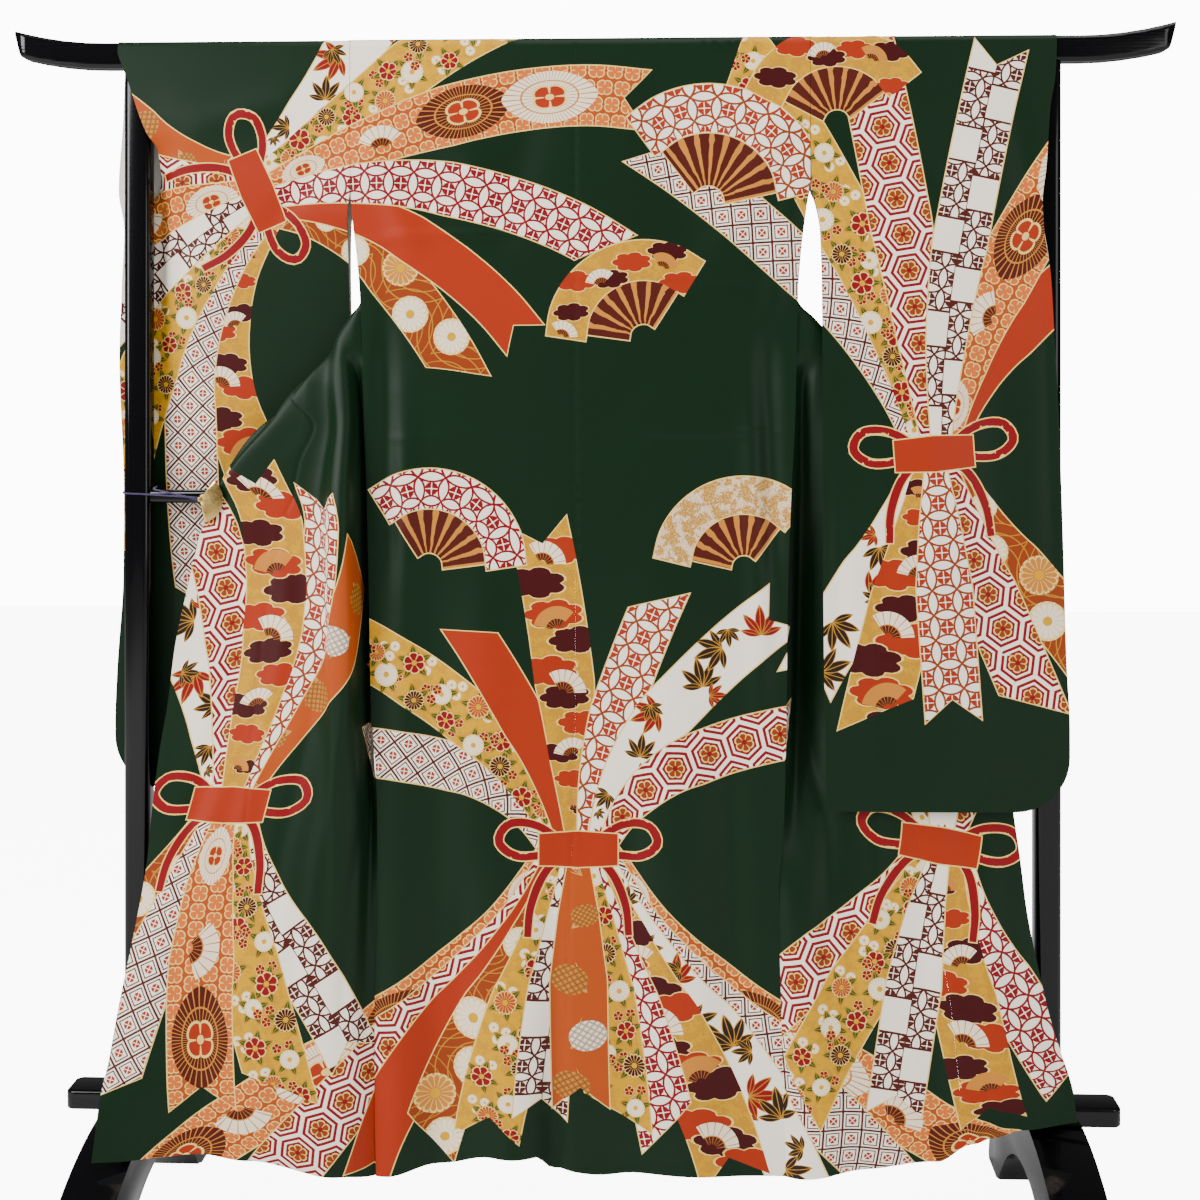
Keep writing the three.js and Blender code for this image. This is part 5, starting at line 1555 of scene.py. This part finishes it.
def paintBlossom(tree, u, v, side, ends):
    shape, line, heart = useGroup(tree, groups["petals"], u, v, ends * 100)
    base = palette(tree, side, colours)
    base = blend(tree, line, base, dye["outline"])
    return blend(tree, heart, base, dye["leafGold"])


def paintLeaf(tree, u, v, side, ends):
    edge = (u * math.pi).sin() * 0.17 - v.abs()
    return blend(tree, edge.below(0.025).most(v.abs().below(0.012)), palette(tree, side, colours),
                 dye["sand"])


# Pleats run out from the pivot, over dark ribs near it
def paintFan(tree, u, v, side, ends):
    rise = v - fanPivot
    reach = distance(u, rise)
    pleat = (calc(tree, "ARCTAN2", u, rise) * 3.2).fract().below(0.13)
    base = blend(tree, reach.below(0.5), palette(tree, side, colours), dye["brown"])
    return blend(tree, pleat.most(reach.near(0.5, 0.02)), base, dye["ochre"])


def paintMedallion(tree, u, v, side, ends):
    turn = calc(tree, "ARCTAN2", v, u) * (1 / (2 * math.pi))
    line = (turn * 46).fract().below(0.2).most(distance(u * 0.8, v * 1.4).near(0.62, 0.02))
    base = blend(tree, line, palette(tree, side, colours), dye["ochre"])
    shape, edge, heart = useGroup(tree, groups["petals"], u * 2.0, v * 2.9, 4.0)
    base = blend(tree, shape, base, dye["coral"])
    return blend(tree, edge.most(heart), base, dye["outline"])


def paintCone(tree, u, v, side, ends):
    line, _ = useGroup(tree, groups["lattice"], u, v * 1.2, repeats["cone"])
    return blend(tree, line, palette(tree, side, colours), dye["brown"])


def paintLining(tree, u, v, side, ends):
    _, height, _ = uvWires(tree, "cloth")
    return blend(tree, height.above(0.66), dye["green"], dye["lining"])


materials = {
    "ground": silkMaterial("silk_green", plainPaint("green"), False),
    "lining": silkMaterial("silk_lining", paintLining, False),
    "lattice": silkMaterial("print_lattice", paintLattice),
    "shippo": silkMaterial("print_circles", shippoPaint("crimson", "white", "crimson")),
    "shippoOchre": silkMaterial("print_circles_ochre", shippoPaint("coral", "white", "rust")),
    "kikko": silkMaterial("print_hexagons", paintKikko),
    "blocks": silkMaterial("print_blocks", paintBlocks),
    "florets": silkMaterial("print_florets", paintFlorets),
    "grass": silkMaterial("print_grass", paintGrass),
    "cones": silkMaterial("print_cones", plainPaint("orange")),
    "leaves": silkMaterial("print_leaves", plainPaint("white")),
    "gold": silkMaterial("print_gold_ground", paintSand("leafGold", "sand")),
    "goldPlain": silkMaterial("print_gold_sand", paintSand("sand", "cream")),
    "clouds": silkMaterial("print_cloud_ground", paintSand("sand", "leafGold")),
    "coral": silkMaterial("print_coral", plainPaint("coral")),
    "plain": silkMaterial("motif_plain", paintStamp, False),
    "blossom": silkMaterial("motif_blossom", paintBlossom, False),
    "leaf": silkMaterial("motif_leaf", paintLeaf, False),
    "fan": silkMaterial("motif_fan", paintFan, False),
    "ribs": silkMaterial("print_ribs", paintRibs),
    "cord": silkMaterial("print_cord", plainPaint("crimson")),
    "medallion": silkMaterial("motif_medallion", paintMedallion, False),
    "cone": silkMaterial("motif_cone", paintCone, False),
}
print("materials ready")


sections = {-1: frontSections(-1, leftFront), 1: frontSections(1, rightFront)}
pieces = {
    "body_left": [backPatch(-1), frontPatch(-1, sections[-1], "body")],
    "body_right": [backPatch(1), frontPatch(1, sections[1], "body")],
    "okumi_left": [frontPatch(-1, sections[-1], "okumi")],
    "okumi_right": [frontPatch(1, sections[1], "okumi")],
    "sleeve_left": [sleevePatch("sleeveLeft", "leftNear", -1, leftNear, False),
                    sleevePatch("sleeveRight", "leftFar", -1, leftFar, True)],
    "sleeve_right": [sleevePatch("sleeveRight", "rightNear", 1, rightNear, False),
                     sleevePatch("sleeveLeft", "rightFar", 1, rightFar, True)],
}
cuts = {"body_left": (0.36, 3.26), "body_right": (0.36, 3.26), "okumi_left": (0.19, 1.3),
        "okumi_right": (0.19, 1.3),
        "sleeve_left": (0.36, 2.2), "sleeve_right": (0.36, 2.2)}
restsOn = {"body_left": ["top_bar"], "body_right": ["top_bar"], "okumi_left": ["body_left"],
           "okumi_right": ["body_right"],
           "sleeve_left": ["top_bar"], "sleeve_right": ["top_bar"]}
for name, patches in pieces.items():
    thing, area = clothObject(name, patches)
    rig.slot(thing, "silk_green" if name.startswith("body") else "silk_printed")
    width, length = cuts[name]
    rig.sheet(thing, flat=(width, length), held="hung" if name.startswith("okumi") else "draped",
             rests_on=restsOn[name],
             area=min(area, width * length))
print("kimono ready")


collar = {"width": 55.0, "wall": 2.4, "depth": 22.4, "corner": 62.0, "cornerTop": 1702.0,
          "neckLeft": -107.0, "neckRight": 73.0}


# Edge points of the two fronts and the way across the collar, joined round the back of the neck
def collarLine():
    starts, outs = [], []

    def addSide(side):
        found = sections[side]
        rows = list(np.arange(1063, 1636, 7.0))
        for height in (rows if side < 0 else rows[::-1]):
            end = np.interp(height, found["heights"], found["end"])
            points = readPatch(makePatch("", found["xs"], found["heights"], found["grid"], []),
                               sideSeam[side] + side * np.array([end - 4, end]), np.array([height, height]))
            out = points[1] - points[0]
            out /= np.linalg.norm(out)
            starts.append(points[1] + out * 0.5)
            outs.append(out)

    addSide(-1)
    for side in (-1, 1):
        outerX = collar["neckLeft"] + 1.5 if side < 0 else collar["neckRight"] - 1.5
        turns = np.linspace(8, 90, 9)
        for degrees in (turns if side < 0 else turns[::-1]):
            angle = math.radians(degrees)
            out = np.array([-side * math.cos(angle), 0, -math.sin(angle)])
            middle = np.array([outerX - side * collar["corner"], collar["depth"],
                               collar["cornerTop"] - collar["corner"]])
            starts.append(middle - out * collar["corner"])
            outs.append(out)
    addSide(1)
    return np.array(starts), np.array(outs)


def collarObject():
    starts, outs = collarLine()
    shares = np.linspace(0, 1, 12)
    count, across = len(starts), len(shares)
    points = starts[:, None] + outs[:, None] * shares[None, :, None] * collar["width"]
    along = np.gradient(points, axis=0)
    normal = np.cross(along, outs[:, None] * np.ones_like(points))
    normal /= np.maximum(np.linalg.norm(normal, axis=2), 1e-9)[:, :, None]
    run = np.concatenate([[0], np.cumsum(np.linalg.norm(np.diff(starts, axis=0), axis=1))])
    bulge = collar["wall"] / 2 * (0.55 + 0.45 * np.sin(np.pi * np.clip(shares, 0.02, 0.98)) ** 0.5)
    layers = [points + normal * bulge[None, :, None], points - normal * bulge[None, :, None]]
    vertices = np.concatenate([layer.reshape(-1, 3) for layer in layers]) * mm
    half = count * across
    faces, uv, bake, looks = [], [], [], []

    def quad(corners, places, look):
        faces.append(corners)
        uv.extend([(p[1] * collar["width"] * mm, run[p[0]] * mm) for p in places])
        bake.extend([(p[1] * collar["width"] + (70 if look else 8), run[p[0]] + 8) for p in places])
        looks.append(look)

    for r in range(count - 1):
        for c in range(across - 1):
            a, b = r * across + c, r * across + c + 1
            near, far = (r, shares[c]), (r, shares[c + 1])
            nearUp, farUp = (r + 1, shares[c]), (r + 1, shares[c + 1])
            quad((a, a + across, b + across, b), (near, nearUp, farUp, far), 0)
            quad((half + a, half + b, half + b + across, half + a + across), (near, far, farUp, nearUp), 1)
    for r in range(count - 1):
        for c, turn in ((0, 1), (across - 1, -1)):
            a = r * across + c
            corners = (a, half + a, half + a + across, a + across)
            places = ((r, shares[c]), (r, shares[c] - 0.05 * turn), (r + 1, shares[c] - 0.05 * turn),
                      (r + 1, shares[c]))
            quad(corners[::turn], places[::turn], 0)
    for c in range(across - 1):
        for r, turn in ((0, -1), (count - 1, 1)):
            a = r * across + c
            corners = (a, half + a, half + a + 1, a + 1)
            places = ((r, shares[c]), (r, shares[c]), (r, shares[c + 1]), (r, shares[c + 1]))
            quad(corners[::turn], places[::turn], 0)
    mesh = bpy.data.meshes.new("collar_cloth")
    mesh.from_pydata([tuple(v) for v in vertices], [], faces)
    mesh.materials.append(materials["ground"])
    for label, values in (("pattern", uv), ("rim", [(1, 1)] * len(uv)), ("cloth", uv), ("OFBake", bake)):
        layer = mesh.uv_layers.new(name=label)
        values = np.array(values, float)
        if label == "OFBake":
            values = values / (run[-1] + 20)
        layer.data.foreach_set("uv", values.astype(np.float32).ravel())
    mesh.shade_smooth()
    thing = addObject("collar_cloth", mesh)
    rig.replaces(thing, "collar")
    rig.ride(thing, "root")
    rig.slot(thing, "silk_green")
    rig.sheet(thing, flat=(0.057, run[-1] * mm), held="folded", rests_on=["body_left", "body_right"])
    print("collar ready:", round(run[-1]), "mm long")


collarObject()


lacquerLook = {
    "colour": (0.002, 0.002, 0.0025, 1),
    "specular": 0.2,
    "coat": 0.15,
    "coatRoughness": 0.05,
    "grooveDepth": 0.5,
    "grain": 0.05,
    "grooves": 210,         # a metre
}


def lacquerMaterial(name, grooves):
    material, tree, shader = newMaterial(name)
    place = tree.nodes.new("ShaderNodeTexCoord")
    vector = Wire(tree, place.outputs["Object"])
    haze = noise(tree, vector, 3.0, 4.0)
    dust = noise(tree, vector, 60.0, 5.0, 0.7)
    shader.inputs["Base Color"].default_value = lacquerLook["colour"]
    tree.links.new((haze * 0.06 + dust * 0.05 + 0.07).socket, shader.inputs["Roughness"])
    shader.inputs["Coat Weight"].default_value = lacquerLook["coat"]
    shader.inputs["Specular IOR Level"].default_value = lacquerLook["specular"]
    shader.inputs["Coat Roughness"].default_value = lacquerLook["coatRoughness"]
    bump = tree.nodes.new("ShaderNodeBump")
    bump.inputs["Distance"].default_value = 0.0006
    bump.inputs["Strength"].default_value = lacquerLook["grooveDepth"] if grooves else lacquerLook["grain"]
    if grooves:
        split = tree.nodes.new("ShaderNodeSeparateXYZ")
        tree.links.new(place.outputs["Object"], split.inputs[0])
        height = Wire(tree, split.outputs["Z"])
        feed(tree, bump.inputs["Height"],
             ((height * lacquerLook["grooves"]).fract() - 0.5).abs() + haze * 0.3)
    else:
        feed(tree, bump.inputs["Height"], dust)
    tree.links.new(bump.outputs["Normal"], shader.inputs["Normal"])
    return material


lacquer = {False: lacquerMaterial("lacquer_black", False), True: lacquerMaterial("lacquer_grooved", True)}
standBevels = {"top_bar": 0.0, "left_post": 0.0008, "right_post": 0.0008, "middle_rail": 0.0006,
               "lower_beam": 0.0012,
               "left_foot": 0.0025, "right_foot": 0.0025}


# A finer skin on a CAD node: welded, with eased edges and smooth curves
def finishNode(name, material, bevel, slot, angle=35.0):
    mesh = nodes[name].data.copy()
    mesh.materials.clear()
    mesh.materials.append(material)
    thing = addObject(name + "_finish", mesh)
    weld = thing.modifiers.new("weld", "WELD")
    weld.merge_threshold = 0.00001
    if bevel:
        ease = thing.modifiers.new("ease", "BEVEL")
        ease.width = bevel
        ease.segments = 3
        ease.limit_method = "ANGLE"
        ease.angle_limit = math.radians(angle)
        ease.harden_normals = True
    mesh.polygons.foreach_set("use_smooth", [True] * len(mesh.polygons))
    with bpy.context.temp_override(object=thing, active_object=thing, selected_objects=[thing],
                                   selected_editable_objects=[thing]):
        for modifier in list(thing.modifiers):
            bpy.ops.object.modifier_apply(modifier=modifier.name)
        bpy.ops.object.shade_smooth_by_angle(angle=math.radians(angle))
    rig.replaces(thing, name)
    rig.ride(thing, "root")
    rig.slot(thing, slot)
    return thing


for name, bevel in standBevels.items():
    finishNode(name, lacquer[name == "top_bar"], bevel, "lacquer")
print("stand ready")


def giltMaterial():
    material, tree, shader = newMaterial("gilt_metal")
    place = tree.nodes.new("ShaderNodeTexCoord")
    wear = noise(tree, Wire(tree, place.outputs["Object"]), 300.0)
    feed(tree, shader.inputs["Base Color"], blend(tree, wear, tone("b98a34"), tone("ecd08a")))
    shader.inputs["Metallic"].default_value = 1.0
    feed(tree, shader.inputs["Roughness"], wear * 0.2 + 0.2)
    return material


braid = {"radius": 1.15, "grain": 1400.0, "roughness": 0.8, "sheen": 0.3}


def cordMaterial():
    material, tree, shader = newMaterial("violet_braid")
    place = tree.nodes.new("ShaderNodeTexCoord")
    grain = noise(tree, Wire(tree, place.outputs["Object"]), braid["grain"])
    feed(tree, shader.inputs["Base Color"], blend(tree, grain, tone("1b0d38"), tone("3a2166")))
    bump = tree.nodes.new("ShaderNodeBump")
    bump.inputs["Distance"].default_value = 0.0004
    feed(tree, bump.inputs["Height"], grain)
    tree.links.new(bump.outputs["Normal"], shader.inputs["Normal"])
    shader.inputs["Roughness"].default_value = braid["roughness"]
    shader.inputs["Sheen Weight"].default_value = braid["sheen"]
    return material


gilt = giltMaterial()
for name, bevel in (("clip_fan", 0.0002), ("clip_pin", 0.0008), ("clip_jaw", 0.0003)):
    finishNode(name, gilt, bevel, "gilt")

# Cord from the pin to the post, once round it and back, in millimetres
postFace = 34 / 2 + 1.2 + 0.4
cordRoute = [
    (-549.6, -40, 1055), (-575, -33, 1056), (-605, -25, 1057), (-628, -postFace - 0.6, 1058),
    (-655, -postFace, 1059),
    (-664.6, -14, 1060), (-665.8, 0, 1061), (-664.2, 13, 1062), (-656, postFace + 0.1, 1063.5),
    (-640, postFace + 0.2, 1065),
    (-628, postFace - 0.6, 1066.2), (-623.2, 10, 1066.8), (-622, -4, 1066.6), (-618, -18, 1065),
    (-600, -25, 1062),
    (-575, -31, 1057), (-549.6, -36, 1051),
]


def smoothPath(points, each=10):
    points = np.array(points, float)
    ends = np.vstack([2 * points[0] - points[1], points, 2 * points[-1] - points[-2]])
    path = []
    for k in range(len(points) - 1):
        a, b, c, d = ends[k:k + 4]
        for t in np.linspace(0, 1, each, endpoint=False):
            path.append(splinePoint(a, b, c, d, t))
    return np.array(path + [points[-1]])


# A round cord along a path, with closed ends
def tubeObject(name, path, radius, material, sides=10):
    tangents = np.gradient(path, axis=0)
    tangents /= np.linalg.norm(tangents, axis=1)[:, None]
    up = np.array([0.0, 0, 1])
    rings = []
    for point, tangent in zip(path, tangents):
        right = np.cross(tangent, up)
        right /= np.linalg.norm(right)
        over = np.cross(right, tangent)
        rings += [point + radius * (math.cos(a) * right + math.sin(a) * over)
                  for a in np.linspace(0, 2 * math.pi, sides, endpoint=False)]
    faces = []
    for r in range(len(path) - 1):
        for s in range(sides):
            t = (s + 1) % sides
            faces.append((r * sides + s, r * sides + t, (r + 1) * sides + t, (r + 1) * sides + s))
    faces.append(tuple(range(sides))[::-1])
    faces.append(tuple((len(path) - 1) * sides + s for s in range(sides)))
    mesh = bpy.data.meshes.new(name)
    mesh.from_pydata([tuple(p * mm) for p in rings], [], faces)
    mesh.materials.append(material)
    mesh.shade_smooth()
    return addObject(name, mesh)


path = smoothPath(cordRoute)
cordLength = float(np.linalg.norm(np.diff(path, axis=0), axis=1).sum()) * mm
cord = tubeObject("clip_cord_braid", path, braid["radius"], cordMaterial())
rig.replaces(cord, "clip_cord")
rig.ride(cord, "root")
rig.slot(cord, "violet_cord")
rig.cord(cord, exit=tuple(path[0] * mm), length=round(cordLength, 3), diameter=0.0023, far_end="object",
        stiffness="limp",
        lay="taut", path=[tuple(p * mm) for p in path])
print("clip and cord ready, cord", round(cordLength, 3), "m")


stage = {"floor": 14.0, "key": 190.0, "fill": 44.0, "top": 50.0, "world": 0.55, "mirrored": 0.1,
         "backdrop": 12.0, "floorGlow": 9.0}


def stageMaterial(name, colour, roughness):
    material, tree, shader = newMaterial(name)
    place = tree.nodes.new("ShaderNodeTexCoord")
    soft = noise(tree, Wire(tree, place.outputs["Object"]), 2.0)
    feed(tree, shader.inputs["Base Color"], blend(tree, soft, tone(colour), tone(colour)))
    shader.inputs["Roughness"].default_value = roughness
    shader.inputs["Emission Color"].default_value = (1, 1, 1, 1)
    seen = tree.nodes.new("ShaderNodeLightPath")    # white to the eye, without lighting the cloth from below
    feed(tree, shader.inputs["Emission Strength"],
         Wire(tree, seen.outputs["Is Camera Ray"]) * stage["floorGlow"])
    return material


bpy.ops.mesh.primitive_plane_add(size=stage["floor"], location=(0, 0, 0))
floor = bpy.context.object
floor.name = "floor"
floor.data.materials.append(stageMaterial("pale_floor", "f4f4f4", 0.9))
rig.stage(floor)


def areaLight(name, place, aim, size, power):
    data = bpy.data.lights.new(name, "AREA")
    data.shape = "RECTANGLE"
    data.size, data.size_y = size
    data.energy = power
    light = bpy.data.objects.new(name, data)
    light.location = place
    light.rotation_euler = (Vector(aim) - Vector(place)).to_track_quat("-Z", "Y").to_euler()
    bpy.context.scene.collection.objects.link(light)
    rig.stage(light)


areaLight("key", (-2.9, -2.3, 2.5), (0, 0, 0.9), (1.6, 2.0), stage["key"])
areaLight("fill", (2.4, -2.8, 1.6), (0, 0, 0.9), (1.6, 2.4), stage["fill"])
areaLight("top", (0.2, -0.6, 3.6), (0, 0, 0.8), (2.4, 1.6), stage["top"])

world = bpy.data.worlds.new("studio")
world.use_nodes = True
bpy.context.scene.world = world
background = world.node_tree.nodes["Background"]
background.inputs["Color"].default_value = (1, 1, 1, 1)
rays = world.node_tree.nodes.new("ShaderNodeLightPath")
seen, mirrored = (Wire(world.node_tree, rays.outputs[label]) for label in ("Is Camera Ray", "Is Glossy Ray"))
level = (seen * (stage["backdrop"] - stage["world"]) + mirrored * (stage["mirrored"] - stage["world"])
         + stage["world"])
feed(world.node_tree, background.inputs["Strength"], level)

view = {"place": (0.133, -2.600, 1.229), "yaw": 2.55, "lens": 54.96, "shift": -0.188}
cameraData = bpy.data.cameras.new("camera")
cameraData.sensor_width = 36
cameraData.lens = view["lens"]
cameraData.shift_y = view["shift"]
camera = bpy.data.objects.new("camera", cameraData)
camera.location = view["place"]
camera.rotation_euler = (math.radians(90), 0, math.radians(view["yaw"]))
bpy.context.scene.collection.objects.link(camera)
bpy.context.scene.camera = camera
print("stage ready")

json.dump({"cad": [list(p) for p in boundsBefore], "visual": [list(p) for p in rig.bounds()]},
          open("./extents.json", "w"))
